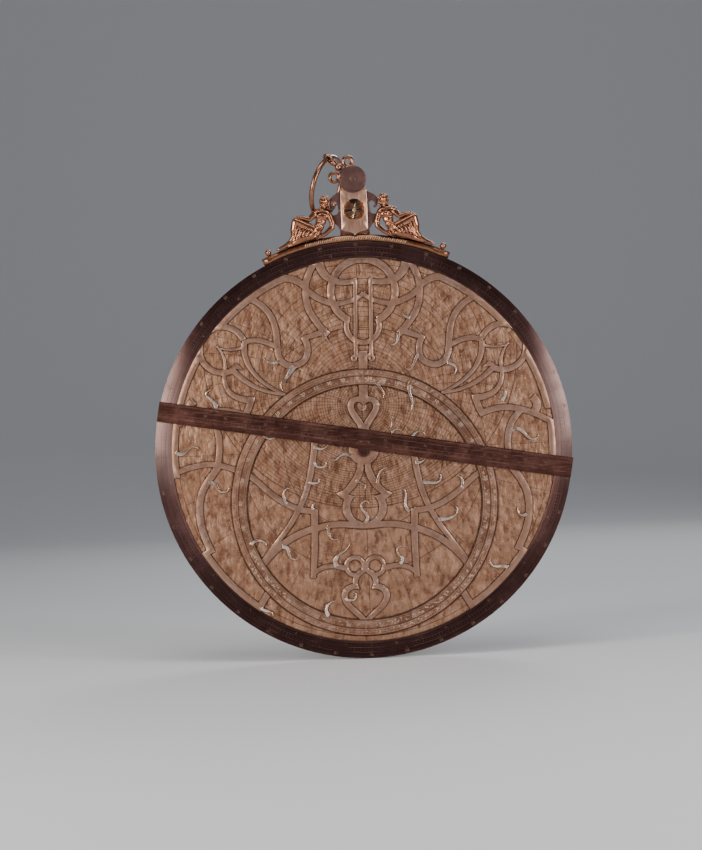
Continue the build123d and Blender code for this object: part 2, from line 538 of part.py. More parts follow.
# ---- shackle, swivel and ring -----------------------------------------------------------------
def make_suspension():
    hub = Pos(0, HUB_Y, 0) * Rot(0, 0, LEAN)          # local y is the shackle's own axis
    cheek_z = BODY_Z + 0.1
    cheek = disc(HUB_R, cheek_z, cheek_z + CHEEK_T) - disc(3.0 + RUN, cheek_z, cheek_z + CHEEK_T)
    cheek -= disc(4.5, cheek_z + 1.7, cheek_z + CHEEK_T)
    groove = ring(HUB_R - 1.5, HUB_R - 2.1, cheek_z + CHEEK_T - 0.35, cheek_z + CHEEK_T)
    cheek -= groove
    bridge = extrude(sector(NECK_R + 0.4, 20.2, 42, 138), 2 * cheek_z)
    bridge = Pos(0, 0, -cheek_z) * bridge
    for side in (-1, 1):
        at = polar(LOOP_AT, 90 + side * LOOP_TURN)
        bridge += Pos(*at, 0) * Torus(LOOP_R, LOOP_WIRE)
    stem_axis = Rot(-90, 0, 0)
    bridge -= stem_axis * Pos(0, 0, 18) * Cylinder(2.0 + RUN, 12)
    bridge -= stem_axis * Pos(0, 0, 15.4) * Cylinder(3.4, 4.4)
    rivet_spots = [polar(17.0, 90 + side * 33) for side in (-1, 1)]
    rivets = [disc(1.2, -cheek_z - CHEEK_T, cheek_z + CHEEK_T, at) for at in rivet_spots]
    back_cheek = mirror(cheek, Plane.XY)
    for rivet in rivets:
        cheek -= rivet
        back_cheek -= rivet
        bridge -= rivet
    save("shackle_front_cheek", hub * cheek)
    save("shackle_back_cheek", hub * back_cheek)
    save("shackle_loops", hub * bridge)
    save("shackle_rivets", *[hub * rivet for rivet in rivets])

    outer = cheek_z + CHEEK_T
    pin = disc(3.0, -outer, outer) + disc(4.4, outer - 0.9, outer) + disc(4.4, -outer, 0.9 - outer)
    pin -= ring(2.3, 1.8, outer - 0.3, outer)
    save("shackle_pin", Pos(0, HUB_Y, 0) * pin)

    swivel = stem_axis * Pos(0, 0, 27) * Cylinder(2.0, 24)
    swivel += stem_axis * Pos(0, 0, 16.2) * Cylinder(3.2, 2.4)
    swivel += Pos(0, BEAD_AT, 0) * Sphere(BEAD_R)
    swivel += stem_axis * Pos(0, 0, 34.0) * Cone(2.4, COLLAR_R, 5.0)
    swivel += stem_axis * Pos(0, 0, COLLAR_AT) * Cylinder(COLLAR_R, 1.9)
    swivel += stem_axis * Pos(0, 0, 39.4) * Cone(COLLAR_R - 0.4, 2.6, 2.4)
    eye_plane = Plane(origin=(0, EYE_AT, 0), z_dir=(-cos(radians(RING_YAW)), 0, sin(radians(RING_YAW))))
    swivel += eye_plane * Torus(EYE_MAJOR, EYE_WIRE)
    save("swivel", hub * swivel)

    tangent = Vector(-cos(radians(RING_YAW)), 0, sin(radians(RING_YAW)))
    down = Vector(0, -1, 0)
    side = tangent.cross(down)
    straight = down * cos(radians(RING_DROP)) + side * sin(radians(RING_DROP))
    slack = radians(RING_SLACK)
    along = tangent * cos(slack) + straight * sin(slack)
    inward = straight * cos(slack) - tangent * sin(slack)
    contact = Vector(0, EYE_AT, 0)
    ring_plane = Plane(origin=contact + inward * RING_R, z_dir=inward.cross(along))
    save("suspension_ring", hub * (ring_plane * Torus(RING_R, RING_WIRE)))


make_mater()
make_tympans()
make_centre_pin()
make_rete()
make_rule()
make_alidade()
make_throne()
make_compass()
make_figures()
make_suspension()
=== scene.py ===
import json
import random
from math import atan2, cos, degrees, pi, radians, sin, sqrt, tan

import bmesh
import bpy
from mathutils import Matrix, Vector


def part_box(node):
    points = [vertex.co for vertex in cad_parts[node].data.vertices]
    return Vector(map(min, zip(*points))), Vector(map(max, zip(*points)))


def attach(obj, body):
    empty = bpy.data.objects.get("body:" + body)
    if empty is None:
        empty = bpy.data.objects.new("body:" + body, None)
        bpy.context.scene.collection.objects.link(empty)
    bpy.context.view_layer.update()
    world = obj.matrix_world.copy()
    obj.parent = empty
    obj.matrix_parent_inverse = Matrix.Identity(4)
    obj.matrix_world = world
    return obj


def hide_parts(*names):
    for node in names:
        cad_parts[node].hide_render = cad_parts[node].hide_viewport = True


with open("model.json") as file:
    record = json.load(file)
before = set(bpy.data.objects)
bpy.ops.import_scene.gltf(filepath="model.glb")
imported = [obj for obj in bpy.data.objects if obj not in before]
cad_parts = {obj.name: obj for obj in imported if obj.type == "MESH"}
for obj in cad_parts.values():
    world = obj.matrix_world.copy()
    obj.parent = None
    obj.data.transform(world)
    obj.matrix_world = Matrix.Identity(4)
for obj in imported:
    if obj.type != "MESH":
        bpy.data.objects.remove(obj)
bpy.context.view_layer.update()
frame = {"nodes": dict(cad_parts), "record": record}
nodes = frame["nodes"]
MM = 0.001

# The face frame of the dial: x to the right, y up, z towards the viewer, in millimetres, with
# its origin on the centre pin's axis.
limb_low, limb_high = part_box("limb_ring")
DISC_R = (limb_high.x - limb_low.x) / 2 / MM
CENTRE = Vector(((limb_low.x + limb_high.x) / 2, 0.0, limb_high.z - DISC_R * MM))
FLOOR_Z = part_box("mater_back_plate")[0].z
LIMB_FACE = -limb_low.y / MM
RETE_FACE = -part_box("rete_frame")[0].y / MM
RULE_FACE = -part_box("rule_blade")[0].y / MM
glass_low, glass_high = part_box("compass_glass")
COMPASS_Y = ((glass_low.z + glass_high.z) / 2 - CENTRE.z) / MM
# how far the rete and the rule stand turned from upright and level, anticlockwise in degrees
RETE_TURN, RULE_TURN = -1.6, -10.0
ECLIPTIC_Y = -74.5          # middle of the ecliptic ring


def place(x, y, z, turn=0.0):
    """A point of the face frame, turned about the centre pin, in the row frame."""
    c, s = cos(radians(turn)), sin(radians(turn))
    return Vector((x * c - y * s, -z, x * s + y * c)) * MM + CENTRE


def add_object(name, data):
    thing = bpy.data.objects.new(name, data)
    bpy.context.scene.collection.objects.link(thing)
    return thing


def mesh_from(shape, name):
    """A mesh from a bmesh, which is freed."""
    mesh = bpy.data.meshes.new(name)
    shape.to_mesh(mesh)
    shape.free()
    return mesh


def add_piece(name, mesh, body):
    """A mesh as a piece of its own, which rides a body; its material slot comes with the mesh."""
    piece = add_object(name, mesh)
    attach(piece, body)
    return piece


def evaluated_mesh(thing):
    """The finished mesh of an object, which is removed."""
    graph = bpy.context.evaluated_depsgraph_get()
    mesh = bpy.data.meshes.new_from_object(thing.evaluated_get(graph))
    bpy.data.objects.remove(thing)
    return mesh


# ---- camera ------------------------------------------------------------------------------------
DISC_ROLL = 2.3                     # the disc stands turned this far anticlockwise, in degrees
CAMERA_AWAY = 3.0                   # metres in front of the disc
LENS, SENSOR = 89.7, 36.0
AIM_RIGHT, AIM_UP = -0.018, 0.0347  # metres from the disc's centre


def make_camera():
    data = bpy.data.cameras.new("camera")
    data.lens, data.sensor_width = LENS, SENSOR
    camera = add_object("camera", data)
    roll = radians(DISC_ROLL)
    right = Vector((cos(roll), 0, -sin(roll)))
    up = Vector((sin(roll), 0, cos(roll)))
    back = Vector((0, -1, 0))
    turn = Matrix((right, up, back)).transposed().to_4x4()
    at = CENTRE + right * AIM_RIGHT + up * AIM_UP + back * CAMERA_AWAY
    camera.matrix_world = Matrix.Translation(at) @ turn
    bpy.context.scene.camera = camera


# ---- shader arithmetic -------------------------------------------------------------------------
SHADING_SAMPLES = 6         # rays of the bevel and hollow nodes
COAT_ROUGHNESS = 0.08


class Field:
    """A number that varies over a surface: the output of a shader node."""

    def __init__(self, tree, socket):
        self.tree, self.socket = tree, socket

    def feed(self, node, *values):
        """What a node makes of this number and the values after it."""
        for slot, value in zip(node.inputs, (self,) + values):
            if isinstance(value, Field):
                self.tree.links.new(value.socket, slot)
            else:
                slot.default_value = value
        return Field(self.tree, node.outputs[0])

    def math(self, operation, *others):
        node = self.tree.nodes.new("ShaderNodeMath")
        node.operation = operation
        return self.feed(node, *others)

    def __add__(self, other):
        return self.math("ADD", other)

    def __sub__(self, other):
        return self.math("SUBTRACT", other)

    def __mul__(self, other):
        return self.math("MULTIPLY", other)

    def __truediv__(self, other):
        return self.math("DIVIDE", other)

    def over(self, level):
        return self.math("GREATER_THAN", level)

    def under(self, level):
        return self.math("LESS_THAN", level)

    def inverse(self):
        return self.math("POWER", -1.0)

    def either(self, *others):
        """The largest of several numbers: lays patterns of 0 and 1 over each other."""
        largest = self
        for other in others:
            largest = largest.math("MAXIMUM", other)
        return largest

    def between(self, low, high, soft=0.2):
        """1 where the number lies between low and high, 0 elsewhere."""
        return self.ramp(low - soft, low + soft) * self.ramp(high + soft, high - soft)

    def ramp(self, start, end, low=0.0, high=1.0):
        """A smooth step from low at start to high at end."""
        node = self.tree.nodes.new("ShaderNodeMapRange")
        node.interpolation_type = "SMOOTHSTEP"
        if start > end:
            start, end, low, high = end, start, high, low
        return self.feed(node, start, end, low, high)

    def line_every(self, period, half_width):
        """1 on thin lines wherever the number is a multiple of period."""
        near = ((self / period + 0.5).math("FRACT") - 0.5).math("ABSOLUTE") * period
        return near.under(half_width)

    def line_at(self, value, half_width):
        """1 on a thin line where the number has that value."""
        return (self - value).math("ABSOLUTE").under(half_width)


def degrees_per_mm(radius):
    """The degrees that one millimetre spans along a circle of that radius."""
    return (radius * radians(1.0)).inverse()


class Metal:
    """A material under construction: a principled shader with colour, roughness and height."""

    def __init__(self, name, colour, metallic=1.0, anisotropic=0.0, turn=0.0):
        self.material = bpy.data.materials.new(name)
        self.material.use_nodes = True
        self.tree = self.material.node_tree
        self.shader = self.tree.nodes["Principled BSDF"]
        self.shader.inputs["Metallic"].default_value = metallic
        self.shader.inputs["Anisotropic"].default_value = anisotropic
        self.shader.inputs["Base Color"].default_value = (*colour, 1)
        self.paint = colour
        self.heights = []
        self.turn = turn
        self.normal = None
        coords = self.tree.nodes.new("ShaderNodeTexCoord")
        self.coords = coords.outputs["Object"]
        split = self.tree.nodes.new("ShaderNodeSeparateXYZ")
        self.tree.links.new(self.coords, split.inputs[0])
        x = (Field(self.tree, split.outputs[0]) - CENTRE.x) * (1 / MM)
        y = (Field(self.tree, split.outputs[2]) - CENTRE.z) * (1 / MM)
        c, s = cos(radians(turn)), sin(radians(turn))
        self.x = x * c + y * s if turn else x
        self.y = y * c - x * s if turn else y
        self.z = Field(self.tree, split.outputs[1]) * (-1 / MM)

    def polar(self, at_x=0.0, at_y=0.0):
        """Distance from a point in millimetres, and the angle round it in degrees."""
        x, y = self.x - at_x, self.y - at_y
        return (x * x + y * y).math("SQRT"), y.math("ARCTAN2", x) * degrees(1.0)

    def noise(self, per_metre, detail=3.0, rough=0.55, stretch=(1, 1, 1), seed=0.0):
        """Cloudy noise in metres; each seed moves it to another place."""
        mapping = self.tree.nodes.new("ShaderNodeMapping")
        mapping.inputs["Scale"].default_value = stretch
        mapping.inputs["Location"].default_value = (seed, seed * 0.37, -seed)
        mapping.inputs["Rotation"].default_value = (0, radians(self.turn), 0)
        node = self.tree.nodes.new("ShaderNodeTexNoise")
        node.inputs["Scale"].default_value = per_metre
        node.inputs["Detail"].default_value = detail
        node.inputs["Roughness"].default_value = rough
        self.tree.links.new(self.coords, mapping.inputs[0])
        self.tree.links.new(mapping.outputs[0], node.inputs["Vector"])
        return Field(self.tree, node.outputs[0])

    def rings(self, radius, pitch, seed=0.0):
        """Fine lathe marks: noise that changes with the radius only."""
        node = self.tree.nodes.new("ShaderNodeTexNoise")
        node.noise_dimensions = "1D"
        node.inputs["Scale"].default_value = 1.0
        node.inputs["Detail"].default_value = 3.0
        self.tree.links.new((radius / pitch + seed).socket, node.inputs["W"])
        return Field(self.tree, node.outputs[0])

    def soft_edges(self, radius, bright=None, amount=1.0):
        """Round the edges off in shading, and paint them bright: worn edges and a painted
        highlight.
        """
        bevel = self.tree.nodes.new("ShaderNodeBevel")
        bevel.samples = SHADING_SAMPLES
        bevel.inputs["Radius"].default_value = radius * MM
        self.normal = bevel.outputs[0]
        if bright:
            geometry = self.tree.nodes.new("ShaderNodeNewGeometry")
            dot = self.tree.nodes.new("ShaderNodeVectorMath")
            dot.operation = "DOT_PRODUCT"
            self.tree.links.new(bevel.outputs[0], dot.inputs[0])
            self.tree.links.new(geometry.outputs["True Normal"], dot.inputs[1])
            # painted highlight and wear: the rounded edges are mixed towards the bright colour
            self.mix(Field(self.tree, dot.outputs["Value"]).ramp(0.99, 0.8) * amount, bright)

    def facing(self):
        """How squarely the face looks forwards or backwards, 0 to 1."""
        geometry = self.tree.nodes.new("ShaderNodeNewGeometry")
        local = self.tree.nodes.new("ShaderNodeVectorTransform")
        local.vector_type, local.convert_from, local.convert_to = "NORMAL", "WORLD", "OBJECT"
        split = self.tree.nodes.new("ShaderNodeSeparateXYZ")
        self.tree.links.new(geometry.outputs["True Normal"], local.inputs[0])
        self.tree.links.new(local.outputs[0], split.inputs[0])
        return Field(self.tree, split.outputs[1]).math("ABSOLUTE")

    def walls(self, colour, amount=1.0):
        """Paint shade on faces that don't look forwards or backwards."""
        self.mix(self.facing().ramp(0.6, 0.2) * amount, colour)

    def hollows(self, distance):
        """1 in the open and 0 deep in a hollow."""
        node = self.tree.nodes.new("ShaderNodeAmbientOcclusion")
        node.inputs["Distance"].default_value = distance * MM
        node.samples = SHADING_SAMPLES
        return Field(self.tree, node.outputs["AO"])

    def mix(self, factor, colour):
        """Paint over what is there, by factor, with a colour."""
        node = self.tree.nodes.new("ShaderNodeMix")
        node.data_type = "RGBA"
        links = self.tree.links
        # the node's colour sockets come after those for numbers and vectors
        under, over, result = node.inputs[6], node.inputs[7], node.outputs[2]
        links.new(factor.socket, node.inputs[0])
        if isinstance(self.paint, tuple):
            under.default_value = (*self.paint, 1)
        else:
            links.new(self.paint, under)
        over.default_value = (*colour, 1)
        self.paint = result

    def raise_by(self, height):
        """Add a height in millimetres to the bump."""
        self.heights.append(height)

    def lacquer(self, weight):
        """A thin clear coat: white glints over dark metal."""
        self.shader.inputs["Coat Weight"].default_value = weight
        self.shader.inputs["Coat Roughness"].default_value = COAT_ROUGHNESS

    def finish(self, roughness, strength=1.0):
        """Join colour, roughness and bump to the shader, and give the material."""
        links = self.tree.links
        if not isinstance(self.paint, tuple):
            links.new(self.paint, self.shader.inputs["Base Color"])
        links.new(roughness.socket, self.shader.inputs["Roughness"])
        if self.heights:
            total = self.heights[0]
            for height in self.heights[1:]:
                total = total + height
            bump = self.tree.nodes.new("ShaderNodeBump")
            bump.inputs["Strength"].default_value = strength
            bump.inputs["Distance"].default_value = MM
            links.new(total.socket, bump.inputs["Height"])
            if self.normal:
                links.new(self.normal, bump.inputs["Normal"])
            links.new(bump.outputs[0], self.shader.inputs["Normal"])
        return self.material


# ---- engraved patterns -------------------------------------------------------------------------
EQUATOR_R, LATITUDE, OBLIQUITY = 172.8, 51.0, 23.5
TROPIC_R = EQUATOR_R * tan(radians(45 - OBLIQUITY / 2))
TYMPAN_EDGE_R = 263.5
HOURS_R, DEGREES_R, DEGREES_TOP_R, LIMB_BORDER_R = 273.5, 280.0, 286.5, 293.6
# the ecliptic ring, from its own middle: its edges, and the lines that divide it
BAND_IN_R, BAND_OUT_R = 166.2, 188.8
BAND_LINES_R = (186.8, 183.2, 180.4, 171.0, 168.4)
# the rule's lines, from its own axis: long ticks, numbers and short ticks lie between them
RULE_LINES_Y = (7.2, 12.6, 20.4, 26.4)
# scale and plain circles of the mater's back
BACK_SCALE_R, BACK_SCALE_TOP_R = 262.0, 270.0
BACK_CIRCLES_R = (244.0, 226.0, 150.0, 120.0)


def engrave_tympan(metal):
    """Altitude circles, azimuth arcs and hour lines of one latitude, in stereographic view."""
    zenith = radians(90 - LATITUDE)
    u, v = metal.x / EQUATOR_R, metal.y / EQUATOR_R
    q = u * u + v * v
    grow = q + 1.0
    east = u * 2.0 / grow
    south = v * 2.0 / grow
    pole = (q * -1.0 + 1.0) / grow
    up = south * sin(zenith) + pole * cos(zenith)
    level = south * cos(zenith) - pole * sin(zenith)
    altitude = up.math("ARCSINE") * degrees(1.0)
    azimuth = east.math("ARCTAN2", level) * degrees(1.0)
    mm_per_degree = grow * (EQUATOR_R / 2 * radians(1.0))
    above = altitude.over(0.0)
    radius, angle = metal.polar()
    inside = radius.under(TYMPAN_EDGE_R)
    thin, thick, widest = 0.2, 0.34, 0.5
    rings = altitude.line_every(2.0, mm_per_degree.inverse() * thin)
    bold = altitude.line_every(10.0, mm_per_degree.inverse() * thick)
    slant = (up * up * -1.0 + 1.0).math("SQRT") * mm_per_degree
    arcs = azimuth.line_every(5.0, slant.inverse() * thin) * altitude.under(86.0)
    sky = rings.either(bold, arcs) * above * inside
    hours = angle.line_every(15.0, degrees_per_mm(radius) * thin)
    hours = hours * (above * -1.0 + 1.0) * inside * radius.over(TROPIC_R)
    circles = [radius.line_at(at, thick) for at in (TYMPAN_EDGE_R, EQUATOR_R, TROPIC_R)]
    horizon = altitude.math("ABSOLUTE").under(mm_per_degree.inverse() * widest)
    axis = metal.x.line_at(0.0, thick) * inside
    return sky.either(hours, *circles, horizon * inside, axis)


def scale_ring(radius, angle, inner, outer, step, long_step):
    """A degree scale between two radii: short ticks, longer ticks and two border circles."""
    tick, border, crisp = 0.22, 0.25, 0.05
    narrow = degrees_per_mm(radius) * tick
    short_top = outer - (outer - inner) * 0.45
    short = angle.line_every(step, narrow) * radius.between(inner, short_top, crisp)
    long = angle.line_every(long_step, narrow * 1.3) * radius.between(inner, outer, crisp)
    return short.either(long, radius.line_at(inner, border), radius.line_at(outer, border))


# ---- materials ---------------------------------------------------------------------------------
def dimmed(colour, red, green, blue):
    return (colour[0] * red, colour[1] * green, colour[2] * blue)


def patina(metal, dark, light, seed):
    """Cloudy tarnish, small spots and rubbed patches."""
    clouds = metal.noise(14, 5, 0.6, seed=seed)
    metal.mix(clouds.ramp(0.42, 0.72) * 0.8, light)
    metal.mix(metal.noise(45, 7, 0.72, seed=seed + 3).ramp(0.48, 0.68) * 0.75, dark)
    metal.mix(metal.noise(150, 5, 0.7, seed=seed + 5).ramp(0.55, 0.75) * 0.6, light)
    metal.mix(metal.noise(380, 2, 0.5, seed=seed + 7).ramp(0.62, 0.7) * 0.6, dark)
    return clouds


def tympan_brass():
    """The plates in the well: hammered, brushed and engraved."""
    metal = Metal("tympan_brass", (0.27, 0.135, 0.078), metallic=0.8)
    clouds = patina(metal, (0.125, 0.054, 0.03), (0.40, 0.22, 0.135), 1.0)
    planish = metal.noise(75, 4, 0.62, stretch=(1.5, 1, 0.8), seed=4.0)
    metal.mix(planish.ramp(0.5, 0.68) * 0.6, (0.47, 0.28, 0.20))
    metal.mix(planish.ramp(0.48, 0.36) * 0.8, (0.13, 0.05, 0.028))
    brush = metal.noise(1000, 3, 0.6, stretch=(0.08, 1, 1), seed=5.0)
    metal.mix(brush.ramp(0.5, 0.75) * 0.45, (0.44, 0.26, 0.165))
    lines = engrave_tympan(metal)
    metal.mix(lines * 0.9, (0.055, 0.022, 0.012))
    # painted shade: the plate goes dark near the parts that stand above it
    metal.mix(metal.hollows(2.8).ramp(0.88, 0.63) * 0.97, (0.022, 0.009, 0.006))
    metal.raise_by(planish * 2.2)
    metal.raise_by(brush * 0.04)
    metal.raise_by(lines * -0.2)
    rough = clouds.ramp(0.3, 0.8, 0.46, 0.3) + brush.ramp(0.3, 0.7, -0.05, 0.07)
    return metal.finish(rough, 0.8)


def rete_brass():
    """The rete: painted shade on its side walls, edges worn and painted bright as a highlight, and
    a divided and stamped ecliptic ring, its marks painted pale as glints.
    """
    metal = Metal("rete_brass", (0.315, 0.17, 0.114), metallic=0.85, turn=RETE_TURN)
    clouds = patina(metal, (0.19, 0.095, 0.062), (0.44, 0.27, 0.20), 11.0)
    radius = metal.polar(0.4, ECLIPTIC_Y)[0]
    ascension = metal.y.math("ARCTAN2", metal.x)
    longitude = (ascension.math("SINE") / cos(radians(OBLIQUITY))).math(
        "ARCTAN2", ascension.math("COSINE")) * degrees(1.0)
    narrow = degrees_per_mm((metal.x * metal.x + metal.y * metal.y).math("SQRT"))
    ticks_top = 186.4
    short = longitude.line_every(1.0, narrow * 0.26) * radius.between(183.4, ticks_top, 0.05)
    middle = longitude.line_every(5.0, narrow * 0.35) * radius.between(180.5, ticks_top, 0.05)
    sign = longitude.line_every(30.0, narrow * 0.5) * radius.between(168.5, ticks_top, 0.05)
    scale = short.either(middle, sign, *[radius.line_at(at, 0.3) for at in BAND_LINES_R])
    scale = scale * metal.z.over(RETE_FACE - 0.3)
    rows = radius.between(181.0, 186.0).either(radius.between(170.0, 176.5))
    stamped = metal.noise(300, 1, 0.5, seed=17.0).ramp(0.58, 0.62) * rows
    edges = radius.line_at(BAND_OUT_R - 0.4, 0.7).either(radius.line_at(BAND_IN_R + 0.4, 0.7))
    band = radius.between(BAND_IN_R, BAND_OUT_R, 0.1)
    clouded = metal.noise(60, 4, 0.6, seed=18.0).ramp(0.35, 0.6) * 0.85
    metal.mix(band * clouded, (0.17, 0.072, 0.042))
    metal.mix(edges.either(radius.line_at(178.6, 0.5)) * 0.85, (0.05, 0.02, 0.012))
    # painted glints: the stamped marks and the divisions are painted pale, as if catching the
    # light, more in some large patches than others
    worn = metal.noise(9, 2, 0.5, seed=19.0).ramp(0.38, 0.6, 0.2, 0.9)
    metal.mix(stamped * worn, (0.62, 0.42, 0.30))
    metal.mix(scale * 0.5, (0.50, 0.30, 0.19))
    # painted shade on the straps' side walls
    metal.walls((0.018, 0.008, 0.006), 0.95)
    # edges worn and painted bright as a highlight
    metal.soft_edges(0.55, (0.60, 0.40, 0.28), 0.55)
    grain = metal.noise(600, 4, 0.6, stretch=(0.35, 1, 1), seed=13.0)
    metal.raise_by(scale * -0.15)
    metal.raise_by(grain * 0.06)
    metal.raise_by(metal.noise(90, 3, 0.5, seed=14.0) * 0.5)
    matt = clouds.ramp(0.3, 0.8, 0.42, 0.28)
    return metal.finish(matt + grain.ramp(0.3, 0.7, -0.04, 0.06), 0.8)


def limb_bronze():
    """The limb: near black with lathe marks, worn scales and two pale sides."""
    metal = Metal("limb_bronze", (0.040, 0.016, 0.015), metallic=0.9, anisotropic=0.95)
    radius, angle = metal.polar()
    marks = metal.rings(radius, 0.35)
    wide = metal.rings(radius, 2.3, seed=40.0)
    metal.mix(metal.noise(22, 6, 0.7, seed=21.0).ramp(0.45, 0.7) * 0.8, (0.085, 0.038, 0.034))
    metal.mix(wide.ramp(0.5, 0.75) * 0.4, (0.10, 0.048, 0.042))
    metal.mix(marks.ramp(0.5, 0.75) * 0.35, (0.15, 0.08, 0.065))
    # pale at the left and right from a little below the middle up: painted in place of reflections
    glare = metal.x.math("ABSOLUTE").ramp(235, 278) * metal.y.ramp(-70, 20)
    streaks = metal.rings(radius, 0.9, seed=61.0).ramp(0.3, 0.6, 0.45, 0.8)
    metal.mix(glare * streaks, (0.27, 0.175, 0.155))
    scale = scale_ring(radius, angle, DEGREES_R, DEGREES_TOP_R, 1.0, 5.0)
    hours = angle.line_every(15.0, degrees_per_mm(radius) * 0.3)
    hours = hours * radius.between(HOURS_R, DEGREES_R, 0.05)
    front = metal.z.over(LIMB_FACE - 0.3)
    worn = metal.noise(30, 4, 0.6, seed=24.0).ramp(0.35, 0.65, 0.15, 0.75)
    borders = [radius.line_at(at, 0.2) for at in (LIMB_BORDER_R, HOURS_R)]
    scale = scale.either(hours, *borders) * front * worn
    metal.mix(scale, (0.16, 0.09, 0.068))
    metal.mix(scale * glare, (0.06, 0.03, 0.026))
    # edges worn and painted bright as a highlight
    metal.soft_edges(0.7, (0.26, 0.14, 0.10), 0.6)
    metal.raise_by(scale * -0.2)
    metal.raise_by(marks * 0.06)
    metal.raise_by(wide * 0.10)
    tangent = metal.tree.nodes.new("ShaderNodeTangent")
    tangent.direction_type, tangent.axis = "RADIAL", "Y"
    metal.tree.links.new(tangent.outputs[0], metal.shader.inputs["Tangent"])
    metal.shader.inputs["Anisotropic Rotation"].default_value = 0.25
    return metal.finish(marks.ramp(0.2, 0.8, 0.30, 0.44), 0.8)


def rule_bronze():
    """The rule: near black, brushed along its length, with worn divisions."""
    metal = Metal("rule_bronze", (0.066, 0.024, 0.018), metallic=0.9, turn=RULE_TURN)
    metal.mix(metal.noise(30, 6, 0.7, seed=31.0).ramp(0.42, 0.7) * 0.85, (0.15, 0.062, 0.048))
    brush = metal.noise(900, 3, 0.6, stretch=(0.03, 1, 1), seed=33.0)
    metal.mix(brush.ramp(0.5, 0.75) * 0.4, (0.17, 0.075, 0.055))
    metal.mix(metal.noise(120, 5, 0.7, seed=36.0).ramp(0.55, 0.72) * 0.6, (0.022, 0.008, 0.006))
    low, long_top, _, high = RULE_LINES_Y
    short = metal.x.line_every(2.0, 0.2)
    upright = short * metal.y.between(low, low + 2.4, 0.05)
    hanging = short * metal.y.between(high - 2.2, high, 0.05)
    long = metal.x.line_every(10.0, 0.25) * metal.y.between(low, long_top, 0.05)
    ticks = upright.either(long, hanging, *[metal.y.line_at(at, 0.22) for at in RULE_LINES_Y])
    worn = metal.noise(24, 4, 0.6, seed=38.0).ramp(0.35, 0.65, 0.1, 0.6)
    ticks = ticks * metal.z.over(RULE_FACE - 1.9) * worn
    metal.mix(ticks, (0.26, 0.15, 0.105))
    # painted shade on the side walls, and edges worn and painted bright as a highlight
    metal.walls((0.012, 0.005, 0.004), 0.9)
    metal.soft_edges(0.45, (0.30, 0.15, 0.10), 0.6)
    metal.raise_by(ticks * -0.15)
    metal.raise_by(brush * 0.05)
    metal.raise_by(metal.noise(80, 3, 0.5, seed=39.0) * 0.4)
    return metal.finish(brush.ramp(0.3, 0.7, 0.28, 0.42), 0.8)


def gilt(name="gilt", colour=(0.38, 0.145, 0.067), seed=50.0, hollow=4.0, rough=0.2):
    """Lacquered gilding, with painted shade that makes it nearly black in hollows of a few
    millimetres.
    """
    metal = Metal(name, colour)
    clouds = metal.noise(70, 5, 0.65, seed=seed)
    metal.mix(clouds.ramp(0.45, 0.7) * 0.8, dimmed(colour, 0.55, 0.42, 0.38))
    specks = metal.noise(260, 4, 0.6, seed=seed + 4)
    metal.mix(specks.ramp(0.56, 0.72) * 0.7, (0.06, 0.02, 0.010))
    # painted shade: dark deep in hollows
    open_air = metal.hollows(hollow)
    metal.mix(open_air.ramp(0.88, 0.52) * 0.97, (0.022, 0.007, 0.004))
    metal.soft_edges(0.35)
    metal.lacquer(0.8)
    grain = metal.noise(900, 3, 0.6, seed=seed + 9)
    metal.raise_by(grain * 0.08)
    matt = open_air.ramp(0.3, 0.9, 0.5, rough)
    return metal.finish(matt + grain.ramp(0.3, 0.7, -0.04, 0.06), 0.7)


def tarnished():
    """Dull purple-brown metal of the throne's scrolls and disc."""
    metal = Metal("tarnished", (0.098, 0.048, 0.042), metallic=0.8)
    metal.mix(metal.noise(70, 6, 0.65, seed=61.0).ramp(0.45, 0.7) * 0.8, (0.165, 0.085, 0.07))
    metal.mix(metal.noise(420, 4, 0.6, seed=65.0).ramp(0.55, 0.75) * 0.8, (0.035, 0.016, 0.014))
    # painted shade in hollows, and edges worn and painted bright as a highlight
    metal.mix(metal.hollows(2.5).ramp(0.85, 0.4) * 0.9, (0.015, 0.007, 0.006))
    metal.soft_edges(0.5, (0.22, 0.12, 0.095), 0.5)
    grain = metal.noise(1100, 3, 0.6, seed=66.0)
    metal.raise_by(grain * 0.1)
    return metal.finish(grain.ramp(0.3, 0.7, 0.38, 0.54), 0.8)


def pale_brass():
    """The throne's pale plates and the washer, brushed upright."""
    metal = Metal("pale_brass", (0.52, 0.29, 0.205), metallic=0.9)
    metal.mix(metal.noise(50, 6, 0.65, seed=71.0).ramp(0.42, 0.75) * 0.7, (0.40, 0.20, 0.125))
    brush = metal.noise(1400, 3, 0.6, stretch=(1, 1, 0.05), seed=74.0)
    metal.mix(brush.ramp(0.5, 0.8) * 0.4, (0.62, 0.40, 0.29))
    # painted shade in hollows, and edges worn and painted bright as a highlight
    metal.mix(metal.hollows(2.5).ramp(0.85, 0.4) * 0.85, (0.07, 0.028, 0.016))
    metal.soft_edges(0.6, (0.75, 0.52, 0.38), 0.7)
    metal.raise_by(brush * 0.05)
    return metal.finish(brush.ramp(0.3, 0.7, 0.28, 0.42), 0.7)


def star_brass():
    """The star pointers. Their bright crowns and dark sides are painted, by how they face."""
    metal = Metal("star_brass", (0.60, 0.36, 0.235), turn=RETE_TURN)
    metal.mix(metal.noise(45, 4, 0.6, seed=81.0).ramp(0.52, 0.78) * 0.6, (0.36, 0.18, 0.11))
    facing = metal.facing()
    # painted glints on the crowns, in patches
    glint_spots = metal.noise(60, 3, 0.6, seed=83.0).ramp(0.4, 0.56)
    metal.mix(facing.ramp(0.972, 0.997) * glint_spots, (0.98, 0.82, 0.71))
    # painted shade on the sides
    metal.mix(facing.ramp(0.86, 0.6) * 0.95, (0.06, 0.022, 0.014))
    metal.lacquer(0.25)
    metal.raise_by(metal.noise(500, 3, 0.6, seed=85.0) * 0.05)
    return metal.finish(metal.noise(120, 3, 0.6, seed=86.0).ramp(0.3, 0.7, 0.16, 0.3), 0.6)


